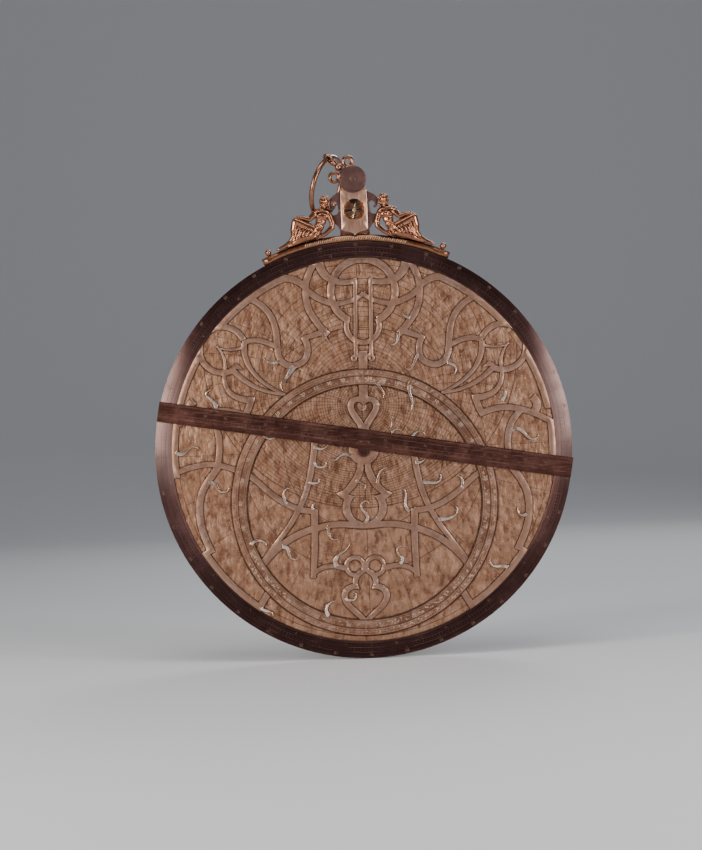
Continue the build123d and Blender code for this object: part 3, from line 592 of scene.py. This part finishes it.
def mater_brass():
    """The mater and the sights; the mater's back has a degree scale and plain circles."""
    metal = Metal("mater_brass", (0.25, 0.125, 0.072), metallic=0.85, anisotropic=0.5)
    patina(metal, (0.17, 0.08, 0.045), (0.34, 0.19, 0.115), 91.0)
    radius, angle = metal.polar()
    marks = metal.rings(radius, 0.8, seed=9.0)
    behind = metal.z.under(-4.3)
    scale = scale_ring(radius, angle, BACK_SCALE_R, BACK_SCALE_TOP_R, 1.0, 5.0)
    circles = [radius.line_at(at, 0.3) for at in BACK_CIRCLES_R]
    quadrants = metal.x.line_at(0.0, 0.3).either(metal.y.line_at(0.0, 0.3))
    scale = scale.either(quadrants, *circles) * behind * radius.under(BACK_SCALE_TOP_R + 1.0)
    metal.mix(scale * 0.75, (0.04, 0.018, 0.01))
    # edges worn and painted bright as a highlight
    metal.soft_edges(0.6, (0.45, 0.27, 0.17), 0.5)
    metal.raise_by(scale * -0.15)
    metal.raise_by(marks * 0.05)
    metal.raise_by(metal.noise(60, 2, 0.5, seed=94.0) * 0.25)
    return metal.finish(marks.ramp(0.2, 0.8, 0.34, 0.5), 0.6)


def steel():
    """Screws, pins, the wedge and the compass pivot."""
    metal = Metal("steel", (0.075, 0.046, 0.038))
    metal.mix(metal.noise(160, 4, 0.6, seed=101.0).ramp(0.5, 0.7) * 0.7, (0.04, 0.022, 0.018))
    metal.soft_edges(0.3)
    metal.raise_by(metal.noise(900, 3, 0.6, seed=104.0) * 0.05)
    return metal.finish(metal.noise(300, 3, 0.6, seed=105.0).ramp(0.3, 0.7, 0.24, 0.42), 0.6)


def needle_blue():
    """Blackened needle with a brass cap over its pivot."""
    metal = Metal("needle_blue", (0.016, 0.010, 0.012), metallic=0.9)
    cap = metal.polar(0.0, COMPASS_Y)[0].ramp(3.0, 2.5)
    metal.mix(cap, (0.80, 0.56, 0.34))
    return metal.finish(metal.noise(500, 3, 0.6, seed=112.0).ramp(0.3, 0.7, 0.2, 0.34))


def compass_metal(name, colour, seed):
    """Floor and wall of the compass, engraved with rays between two circles."""
    metal = Metal(name, colour, metallic=0.85)
    radius, angle = metal.polar(0.0, COMPASS_Y)
    clouds = metal.noise(120, 5, 0.65, seed=seed)
    metal.mix(clouds.ramp(0.45, 0.7) * 0.7, dimmed(colour, 0.5, 0.5, 0.5))
    inner, outer, floor_edge = 7.6, 10.8, 11.4
    rays = angle.line_every(22.5, degrees_per_mm(radius) * 0.22) * radius.between(inner, outer)
    circles = [radius.line_at(at, 0.22) for at in (inner, outer)]
    marks = rays.either(*circles) * radius.under(floor_edge)
    metal.mix(marks * 0.7, (0.02, 0.008, 0.005))
    # a painted shadow under the window's upper edge: part of a circle that lies above it
    from_above = metal.polar(0.0, COMPASS_Y + 16.0)[0]
    metal.mix(from_above.ramp(7.6, 5.6) * 0.97, (0.008, 0.004, 0.003))
    metal.raise_by(metal.noise(500, 3, 0.6, seed=seed + 5) * 0.08)
    return metal.finish(metal.noise(200, 3, 0.6, seed=seed + 6).ramp(0.3, 0.7, 0.26, 0.42), 0.6)


def clear_glass():
    """The compass window, a little hazy."""
    metal = Metal("clear_glass", (0.97, 0.96, 0.93), metallic=0.0)
    metal.shader.inputs["Transmission Weight"].default_value = 1.0
    metal.shader.inputs["IOR"].default_value = 1.45
    haze = metal.noise(260, 4, 0.7, seed=131.0)
    return metal.finish(haze.ramp(0.5, 0.8, 0.03, 0.14))


def engraving_ink(name, colour):
    """The unevenly worn filling of engraved numbers and leaves."""
    metal = Metal(name, colour, metallic=0.6)
    wear = metal.noise(160, 4, 0.6, seed=141.0)
    metal.mix(wear.ramp(0.4, 0.65) * 0.8, dimmed(colour, 0.4, 0.4, 0.4))
    return metal.finish(wear.ramp(0.3, 0.7, 0.42, 0.6))


MATERIALS = {
    "limb_bronze": limb_bronze(),
    "tympan_brass": tympan_brass(),
    "rete_brass": rete_brass(),
    "star_brass": star_brass(),
    "rule_bronze": rule_bronze(),
    "gilt": gilt(),
    "tarnished": tarnished(),
    "pale_brass": pale_brass(),
    "mater_brass": mater_brass(),
    "steel": steel(),
    "card": compass_metal("compass_floor", (0.36, 0.155, 0.07), 121.0),
    "glass": clear_glass(),
}
OWN_MATERIAL = {
    "compass_needle": needle_blue(),
    "compass_strip": gilt("strip_gilt", (0.95, 0.72, 0.50), 150.0, 1.0),
    "compass_bowl": compass_metal("compass_wall", (0.80, 0.36, 0.14), 160.0),
    "suspension_ring": gilt("ring_gilt", (0.36, 0.15, 0.075), 170.0, 2.0, 0.24),
    "alidade_bar": gilt("alidade_brass", (0.56, 0.33, 0.20), 190.0, 2.0, 0.34),
    "throne_base_arc": gilt("arc_gilt", (0.30, 0.12, 0.05), 180.0, 2.0, 0.3),
}
LIMB_INK = engraving_ink("limb_engraving", (0.19, 0.11, 0.08))
# the ecliptic numerals are painted pale as glints
RETE_NUMERAL_GLINT = engraving_ink("rete_numeral_glint", (0.66, 0.46, 0.33))
ARC_INK = engraving_ink("arc_engraving", (0.85, 0.56, 0.35))
RULE_INK = engraving_ink("rule_engraving", (0.15, 0.08, 0.06))


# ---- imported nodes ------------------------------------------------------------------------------
WELD_M = 0.00001            # points closer than this are joined, in metres
STAR_VOXEL = 0.4            # size of the cubes that round off the star pointers


def melt_and_soften(thing, voxel, passes):
    """Round a piece off as if it were cast: remeshed in small cubes, then smoothed."""
    melt = thing.modifiers.new("melt", "REMESH")
    melt.mode, melt.voxel_size, melt.use_smooth_shade = "VOXEL", voxel, True
    soften = thing.modifiers.new("soften", "SMOOTH")
    soften.factor, soften.iterations = 0.5, passes


def dress_cad_nodes():
    """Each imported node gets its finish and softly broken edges; its own mesh isn't changed."""
    slots = {part["node"]: part["material_slot"] for part in frame["record"]["subparts"]}
    for name, node in nodes.items():
        node.data.materials.clear()
        node.data.materials.append(OWN_MATERIAL.get(name) or MATERIALS[slots[name]])
        weld = node.modifiers.new("weld", "WELD")
        weld.merge_threshold = WELD_M
        if slots[name] == "star_brass":
            melt_and_soften(node, STAR_VOXEL * MM, 4)
            continue
        smooth = node.modifiers.new("smooth", "WEIGHTED_NORMAL")
        smooth.keep_sharp = True
        node.data.polygons.foreach_set("use_smooth", [True] * len(node.data.polygons))


# ---- numerals ----------------------------------------------------------------------------------
NUMERAL_HALF = 0.06         # half the thickness of a number's mesh
PROUD = 0.02                # how far flat pieces stand off the face they lie on
DEGREE_NUMBERS_R, HOUR_NUMBERS_R = 290.0, 276.8
BAND_NUMBERS_R = 175.0
RULE_NUMBER_STEP, RULE_NUMBERS_Y = 28.5, 16.5


def word_mesh(word, size):
    """Outline of a number as a flat mesh, centred on its middle, in millimetres."""
    curve = bpy.data.curves.new("word", "FONT")
    curve.body, curve.size = word, size
    curve.align_x, curve.align_y = "CENTER", "CENTER"
    curve.extrude = NUMERAL_HALF
    curve.resolution_u = 3
    mesh = evaluated_mesh(add_object("word", curve))
    bpy.data.curves.remove(curve)
    return mesh


def numerals(name, entries, z, body, ink, turn=0.0):
    """One piece for a whole set of numbers: (word, size, x, y, angle in degrees) on a face."""
    shapes, whole = {}, bmesh.new()
    for word, size, x, y, angle in entries:
        key = (word, size)
        if key not in shapes:
            shapes[key] = word_mesh(word, size)
        start = len(whole.verts)
        whole.from_mesh(shapes[key])
        whole.verts.ensure_lookup_table()
        c, s = cos(radians(angle)), sin(radians(angle))
        for vert in whole.verts[start:]:
            wx, wy, wz = vert.co
            vert.co = place(x + wx * c - wy * s, y + wx * s + wy * c, z + wz, turn)
    bmesh.ops.remove_doubles(whole, verts=whole.verts, dist=1e-7)
    mesh = mesh_from(whole, name)
    mesh.materials.append(ink)
    add_piece(name, mesh, body)


def round_the_dial(word, size, radius, angle):
    """A number on a circle about the centre pin, with its top outwards."""
    x, y = radius * cos(radians(angle)), radius * sin(radians(angle))
    return word, size, x, y, angle - 90


def make_numerals():
    limb = []
    for step in range(36):
        number = step * 10 % 90 or 90
        limb.append(round_the_dial(str(number), 5.6, DEGREE_NUMBERS_R, 90 - step * 10))
    for step in range(24):
        angle = 90 - step * 15 - 7.5
        limb.append(round_the_dial(str(step % 12 + 1), 4.6, HOUR_NUMBERS_R, angle))
    numerals("limb_numerals", limb, LIMB_FACE + PROUD, "mater", LIMB_INK)

    zodiac = []
    for step in range(36):
        longitude = radians(step * 10 + 5)
        ascension = atan2(sin(longitude) * cos(radians(OBLIQUITY)), cos(longitude))
        dx, dy = cos(ascension), sin(ascension)
        # out from the pin in that direction, as far as the circle of the numbers
        rise = dy * ECLIPTIC_Y
        along = rise + sqrt(rise ** 2 + BAND_NUMBERS_R ** 2 - ECLIPTIC_Y ** 2)
        x, y = along * dx, along * dy
        angle = degrees(atan2(y - ECLIPTIC_Y, x)) - 90
        zodiac.append((str(step % 3 * 10 + 10), 7.0, x, y, angle))
    face = RETE_FACE + PROUD
    numerals("ecliptic_numerals", zodiac, face, "rete", RETE_NUMERAL_GLINT, RETE_TURN)

    scale = []
    for step in range(-9, 10):
        if step:
            scale.append((str(abs(step) * 10), 5.4, step * RULE_NUMBER_STEP, RULE_NUMBERS_Y, 0.0))
    face = RULE_FACE + PROUD
    numerals("rule_numerals", scale, face, "rule", RULE_INK, RULE_TURN)


# ---- figures -----------------------------------------------------------------------------------
ARC_R = 304.5               # the figures lie on the outside of the base arc
CAST_BACK = -3.6            # their flat backs
CAST_VOXEL = 0.45           # size of the cubes that melt them together
CAST_SINK = 0.2             # how deep they sink into the arc
# how much fuller they are than the lists below: the balls, and each bone's start and end
FULLER, BONE_START_MORE, BONE_END_MORE = 1.06, 0.8, 0.7

# balls of the reclining figure right of the throne: middle and half sizes
HEAD = [
    ((41.8, 352.3, 6.4), (6.0, 7.0, 6.4)), ((42.2, 347.6, 7.6), (5.4, 6.2, 6.0)),
    ((41.3, 347.4, 13.2), (0.8, 1.7, 1.3)), ((41.2, 346.5, 13.9), (0.9, 0.8, 0.8)),
    ((39.0, 350.2, 12.2), (1.8, 0.6, 1.0)), ((43.8, 350.4, 12.3), (1.8, 0.6, 1.0)),
    ((41.4, 344.6, 12.8), (1.5, 0.6, 0.9)), ((41.6, 342.8, 11.8), (1.8, 1.3, 1.5)),
    ((38.6, 346.8, 11.2), (2.1, 2.3, 2.2)), ((45.0, 347.0, 11.3), (2.2, 2.3, 2.2)),
    ((47.2, 348.2, 7.0), (0.9, 1.8, 1.2)), ((39.2, 348.7, 12.1), (1.5, 1.0, 0.9)),
    ((43.8, 348.7, 12.1), (1.5, 1.0, 0.9)),
]
TORSO = [
    ((45.8, 331.0, 5.2), (9.4, 7.4, 6.0)), ((41.4, 331.4, 9.2), (4.2, 3.4, 2.6)),
    ((49.4, 331.6, 9.4), (4.4, 3.4, 2.6)), ((47.6, 324.4, 5.0), (7.4, 6.6, 5.2)),
    ((50.4, 317.4, 5.2), (7.2, 6.8, 5.2)), ((47.0, 325.0, 9.2), (2.2, 1.7, 1.5)),
    ((50.6, 324.2, 9.2), (2.2, 1.7, 1.5)), ((48.4, 320.8, 9.6), (2.2, 1.6, 1.4)),
    ((52.0, 320.2, 9.4), (2.2, 1.6, 1.4)), ((50.6, 316.0, 9.6), (3.4, 2.4, 1.6)),
    ((55.5, 310.2, 4.8), (9.0, 6.6, 6.0)), ((35.8, 333.2, 5.4), (4.6, 4.4, 4.6)),
    ((56.4, 334.4, 5.2), (4.8, 4.4, 4.6)), ((50.8, 301.8, 6.6), (3.4, 1.9, 2.4)),
    ((47.6, 303.2, 7.4), (1.2, 0.9, 0.9)), ((79.6, 331.2, 7.4), (3.4, 1.9, 2.3)),
    ((82.4, 330.4, 8.4), (1.4, 0.9, 0.9)), ((83.8, 326.2, 8.2), (4.6, 4.4, 4.0)),
    ((108.0, 287.6, 6.0), (3.8, 1.6, 2.4)), ((111.0, 286.4, 6.4), (1.4, 1.1, 1.6)),
]
# rounded bones: start, end and the radius at each
BONES = [
    ((42.8, 343.0, 5.4), (44.0, 337.0, 5.0), 3.0, 3.8),
    ((37.0, 336.2, 5.6), (54.6, 337.4, 5.4), 2.4, 2.6),
    ((35.4, 332.6, 5.6), (31.4, 321.8, 5.8), 3.9, 3.3),
    ((31.4, 321.8, 5.8), (32.2, 315.4, 6.2), 3.1, 3.0),
    ((32.2, 315.4, 6.2), (40.6, 307.8, 7.0), 3.1, 2.6),
    ((40.6, 307.8, 7.0), (50.0, 302.0, 6.6), 2.6, 1.8),
    ((57.0, 334.2, 5.4), (64.0, 327.6, 7.0), 4.0, 3.1),
    ((64.0, 327.6, 7.0), (71.4, 330.2, 7.6), 3.1, 2.6),
    ((71.4, 330.2, 7.6), (79.0, 331.4, 7.4), 2.5, 1.7),
    ((58.0, 312.6, 6.0), (72.0, 319.8, 7.0), 6.6, 5.9),
    ((72.0, 319.8, 7.0), (83.2, 326.0, 7.4), 5.7, 4.4),
    ((84.0, 325.6, 7.6), (86.4, 314.4, 6.6), 4.2, 4.2),
    ((86.4, 314.4, 6.6), (86.6, 304.6, 6.2), 4.2, 3.2),
    ((86.6, 304.6, 6.2), (92.0, 297.0, 6.0), 3.2, 2.6),
    ((92.0, 297.0, 6.0), (100.0, 291.2, 6.0), 2.6, 2.3),
    ((100.0, 291.2, 6.0), (108.4, 287.4, 6.0), 2.3, 1.7),
    ((56.0, 306.8, 6.0), (70.0, 302.6, 6.4), 6.8, 5.6),
    ((70.0, 302.6, 6.4), (84.0, 296.6, 6.0), 5.4, 4.0),
    ((84.0, 296.6, 6.0), (94.0, 292.0, 5.4), 3.8, 2.6),
]
# drapery folds over the legs and round the shoulders: start, middle, end, radius
FOLDS = [
    ((34.0, 334.0, 7.6), (45.0, 339.6, 10.2), (58.4, 336.0, 8.0), 2.1),
    ((33.6, 337.0, 3.6), (45.0, 342.0, 3.4), (60.0, 338.4, 4.0), 2.6),
    ((50.0, 303.0, 4.0), (66.0, 301.0, 4.0), (80.0, 296.4, 4.0), 3.4),
    ((78.0, 296.8, 4.0), (88.0, 294.6, 4.0), (100.0, 289.6, 4.0), 2.8),
    ((53.0, 314.6, 9.4), (60.0, 309.0, 12.6), (64.0, 300.6, 10.4), 1.5),
    ((57.0, 315.8, 10.6), (65.0, 310.4, 12.8), (69.6, 300.2, 10.6), 1.4),
    ((62.0, 317.0, 11.6), (70.4, 311.0, 12.4), (75.0, 299.0, 10.2), 1.5),
    ((68.0, 318.0, 11.6), (75.2, 310.4, 11.8), (80.0, 297.6, 9.6), 1.3),
    ((73.6, 320.0, 11.2), (79.4, 309.6, 10.6), (84.6, 296.4, 9.0), 1.4),
    ((79.0, 318.6, 10.0), (82.6, 308.0, 9.4), (88.4, 295.0, 8.4), 1.2),
    ((49.0, 311.6, 9.8), (54.6, 305.0, 12.2), (58.8, 301.0, 10.6), 1.3),
    ((66.0, 304.0, 11.8), (78.0, 300.4, 10.8), (90.0, 293.6, 8.4), 1.2),
    ((60.0, 305.6, 12.2), (72.0, 306.4, 12.2), (83.0, 303.4, 10.0), 1.1),
]
# webs of cloth behind the folds: middle and half sizes
CLOTH = [((66.0, 309.4, 6.4), (9.0, 5.4, 4.6)), ((76.0, 307.0, 6.0), (8.6, 8.4, 4.2))]


def add_ball(whole, middle, half):
    shape = Matrix.Translation(middle) @ Matrix.Diagonal((*half, 1.0))
    bmesh.ops.create_icosphere(whole, subdivisions=2, radius=1.0, matrix=shape)


def add_bone(whole, start, end, thick, thin):
    start, end = Vector(start), Vector(end)
    turn = (end - start).to_track_quat("Z", "Y").to_matrix().to_4x4()
    bmesh.ops.create_cone(whole, cap_ends=True, segments=14, radius1=thick, radius2=thin,
                          depth=(end - start).length,
                          matrix=Matrix.Translation((start + end) / 2) @ turn)
    add_ball(whole, start, (thick, thick, thick))
    add_ball(whole, end, (thin, thin, thin))


def add_fold(whole, start, middle, end, radius):
    """A rounded cord along a curve through three points, thinner at its ends."""
    start, middle, end = Vector(start), Vector(middle), Vector(end)
    bend = 2 * middle - (start + end) / 2
    steps = 8
    for step in range(steps):
        points, sizes = [], []
        for t in (step / steps, (step + 1) / steps):
            points.append(start * (1 - t) ** 2 + bend * 2 * t * (1 - t) + end * t * t)
            sizes.append(radius * (0.55 + 0.45 * sin(pi * t)))
        add_bone(whole, *points, *sizes)


def add_curls(whole, draw):
    """Curly hair: a cap of small balls over the top, sides and back of the head."""
    middle, half = (41.8, 352.6, 6.2), (6.3, 7.2, 6.4)
    rows = ((0.92, 5), (0.66, 9), (0.34, 11), (0.02, 11), (-0.3, 9))
    for row, (level, count) in enumerate(rows):
        for step in range(count):
            around = 2 * pi * (step + 0.5 * (row % 2)) / count
            flat = sqrt(1 - level * level)
            away = (cos(around) * flat, level, sin(around) * flat)
            over_the_face = away[2] > 0.45 and level < 0.6
            if over_the_face:
                continue
            size = draw.uniform(1.7, 2.3)
            at = [m + part * h for m, part, h in zip(middle, away, half)]
            add_ball(whole, at, (size, size * draw.uniform(0.8, 1.1), size))
    locks = ((36.0, 347.6, 8.6, 1.9), (35.4, 344.6, 7.6, 1.7), (47.4, 345.0, 6.4, 1.8),
             (46.6, 342.2, 4.6, 1.7), (37.8, 342.6, 6.0, 1.8))
    for x, y, z, size in locks:
        add_ball(whole, (x, y, z), (size, size * 1.2, size))


def make_leaves():
    """A border of slanted leaves, large and small in turn, evenly spaced along the base arc."""
    whole = bmesh.new()
    face = -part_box("throne_base_arc")[0].y / MM + PROUD
    leaf = [(-0.45, -2.3), (0.3, -1.5), (0.75, 0.0), (0.35, 1.2),
            (0.9, 2.3), (-0.2, 1.6), (-0.6, 0.1), (-0.25, -1.3)]
    middle = (DISC_R + ARC_R) / 2
    spacing = 3.1
    for step in range(-23, 24):
        angle = radians(90) - step * spacing / middle
        size = 0.85 + 0.25 * (step % 2)
        c, s = cos(angle - radians(90)), sin(angle - radians(90))
        verts = []
        for x, y in leaf:
            u, v = (x + y * 0.5) * size, y * size
            at = (middle * cos(angle) + u * c - v * s, middle * sin(angle) + u * s + v * c)
            verts.append(whole.verts.new(place(*at, face)))
        whole.faces.new(verts)
    mesh = mesh_from(whole, "arc_sprigs")
    mesh.materials.append(ARC_INK)
    add_piece("arc_sprigs", mesh, "mater")


def make_figure(name, node, side, seed, tilt):
    """A reclining figure, cast in one piece: balls and bones melted together."""
    draw = random.Random(seed)
    whole = bmesh.new()
    for middle, half in HEAD:
        add_ball(whole, middle, half)
    add_curls(whole, draw)
    neck = Vector((43.0, 342.0, 5.4))
    lean = Matrix.Rotation(radians(tilt), 4, "Z")
    lean = Matrix.Translation(neck) @ lean @ Matrix.Translation(-neck)
    bmesh.ops.transform(whole, matrix=lean, verts=whole.verts)
    for middle, half in TORSO + CLOTH:
        middle = [part + draw.uniform(-0.3, 0.3) for part in middle]
        add_ball(whole, middle, [part * FULLER for part in half])
    for start, end, thick, thin in BONES:
        add_bone(whole, start, end, thick + BONE_START_MORE, thin + BONE_END_MORE)
    for start, middle, end, radius in FOLDS:
        shift = Vector((draw.uniform(-1, 1), draw.uniform(-0.6, 0.6), 0))
        add_fold(whole, start, Vector(middle) + shift, end, radius)
    bmesh.ops.scale(whole, vec=(side, 1, 1), verts=whole.verts)
    if side < 0:
        bmesh.ops.reverse_faces(whole, faces=whole.faces)
    rough = add_object("rough", mesh_from(whole, name))
    melt_and_soften(rough, CAST_VOXEL, 2)
    cast = evaluated_mesh(rough)
    cast.name = name
    for vert in cast.vertices:
        x, y, z = vert.co
        # nothing lies inside the arc or behind the flat back
        stretch = max(1.0, (ARC_R - CAST_SINK) / sqrt(x * x + y * y))
        vert.co = place(x * stretch, y * stretch, max(z, CAST_BACK))
    cast.polygons.foreach_set("use_smooth", [True] * len(cast.polygons))
    cast.materials.append(MATERIALS["gilt"])
    piece = add_piece(name, cast, "mater")
    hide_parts(node)


# ---- light and floor ---------------------------------------------------------------------------
def softbox(name, at, aim, width, height, watts, colour=(1, 1, 1)):
    data = bpy.data.lights.new(name, "AREA")
    data.shape, data.size, data.size_y = "RECTANGLE", width, height
    data.energy, data.color = watts, colour
    lamp = add_object(name, data)
    lamp.location = at
    lamp.rotation_euler = (Vector(aim) - Vector(at)).to_track_quat("-Z", "Y").to_euler()


def make_floor():
    """Pale floor that sweeps up into a pale wall, a hair below the rim."""
    front, wall, wall_top, side = -18.0, 7.0, 6.0, 14.0
    sweep_r, sweep_steps, under = 3.4, 12, 0.0005
    profile = [(front, 0.0), (wall - sweep_r, 0.0)]
    for step in range(1, sweep_steps + 1):
        turn = pi / 2 * step / sweep_steps
        profile.append((wall - sweep_r * (1 - sin(turn)), sweep_r * (1 - cos(turn))))
    profile.append((wall, wall_top))
    sheet = bmesh.new()
    rows = []
    for along, height in profile:
        level = height + FLOOR_Z - under
        rows.append([sheet.verts.new((x, along, level)) for x in (-side, side)])
    for (a, b), (c, d) in zip(rows, rows[1:]):
        sheet.faces.new((a, b, d, c))
    mesh = mesh_from(sheet, "floor")
    mesh.polygons.foreach_set("use_smooth", [True] * len(mesh.polygons))
    pale = bpy.data.materials.new("floor_pale")
    pale.use_nodes = True
    shader = pale.node_tree.nodes["Principled BSDF"]
    shader.inputs["Base Color"].default_value = (0.72, 0.73, 0.74, 1)
    shader.inputs["Roughness"].default_value = 0.8
    mesh.materials.append(pale)
    add_object("floor", mesh)


def make_lights():
    """A faint even sky, with soft lights at both sides, above and behind."""
    world = bpy.data.worlds.new("studio")
    world.use_nodes = True
    background = world.node_tree.nodes["Background"]
    background.inputs["Color"].default_value = (0.86, 0.90, 1.0, 1)
    background.inputs["Strength"].default_value = 0.2
    bpy.context.scene.world = world
    middle = tuple(CENTRE)
    softbox("key_left", (-1.9, -1.5, 0.95), middle, 0.5, 1.3, 31, (1.0, 0.94, 0.87))
    softbox("key_right", (1.9, -1.6, 0.95), middle, 0.45, 1.3, 24, (0.98, 0.95, 0.95))
    softbox("glance_left", (-1.35, -2.35, 0.62), middle, 0.3, 0.6, 17, (1.0, 0.95, 0.9))
    softbox("glance_right", (1.45, -2.25, 0.64), middle, 0.3, 0.6, 16, (0.96, 0.96, 1.0))
    softbox("top", (0.0, -0.9, 2.6), middle, 1.8, 0.9, 20)
    softbox("behind", (0.9, 2.8, 2.4), middle, 1.6, 1.2, 30)


make_camera()
make_floor()
make_lights()
dress_cad_nodes()
make_numerals()
make_leaves()
make_figure("cast_figure_right", "figure_right", 1, 5, 0.0)
make_figure("cast_figure_left", "figure_left", -1, 8, 4.0)
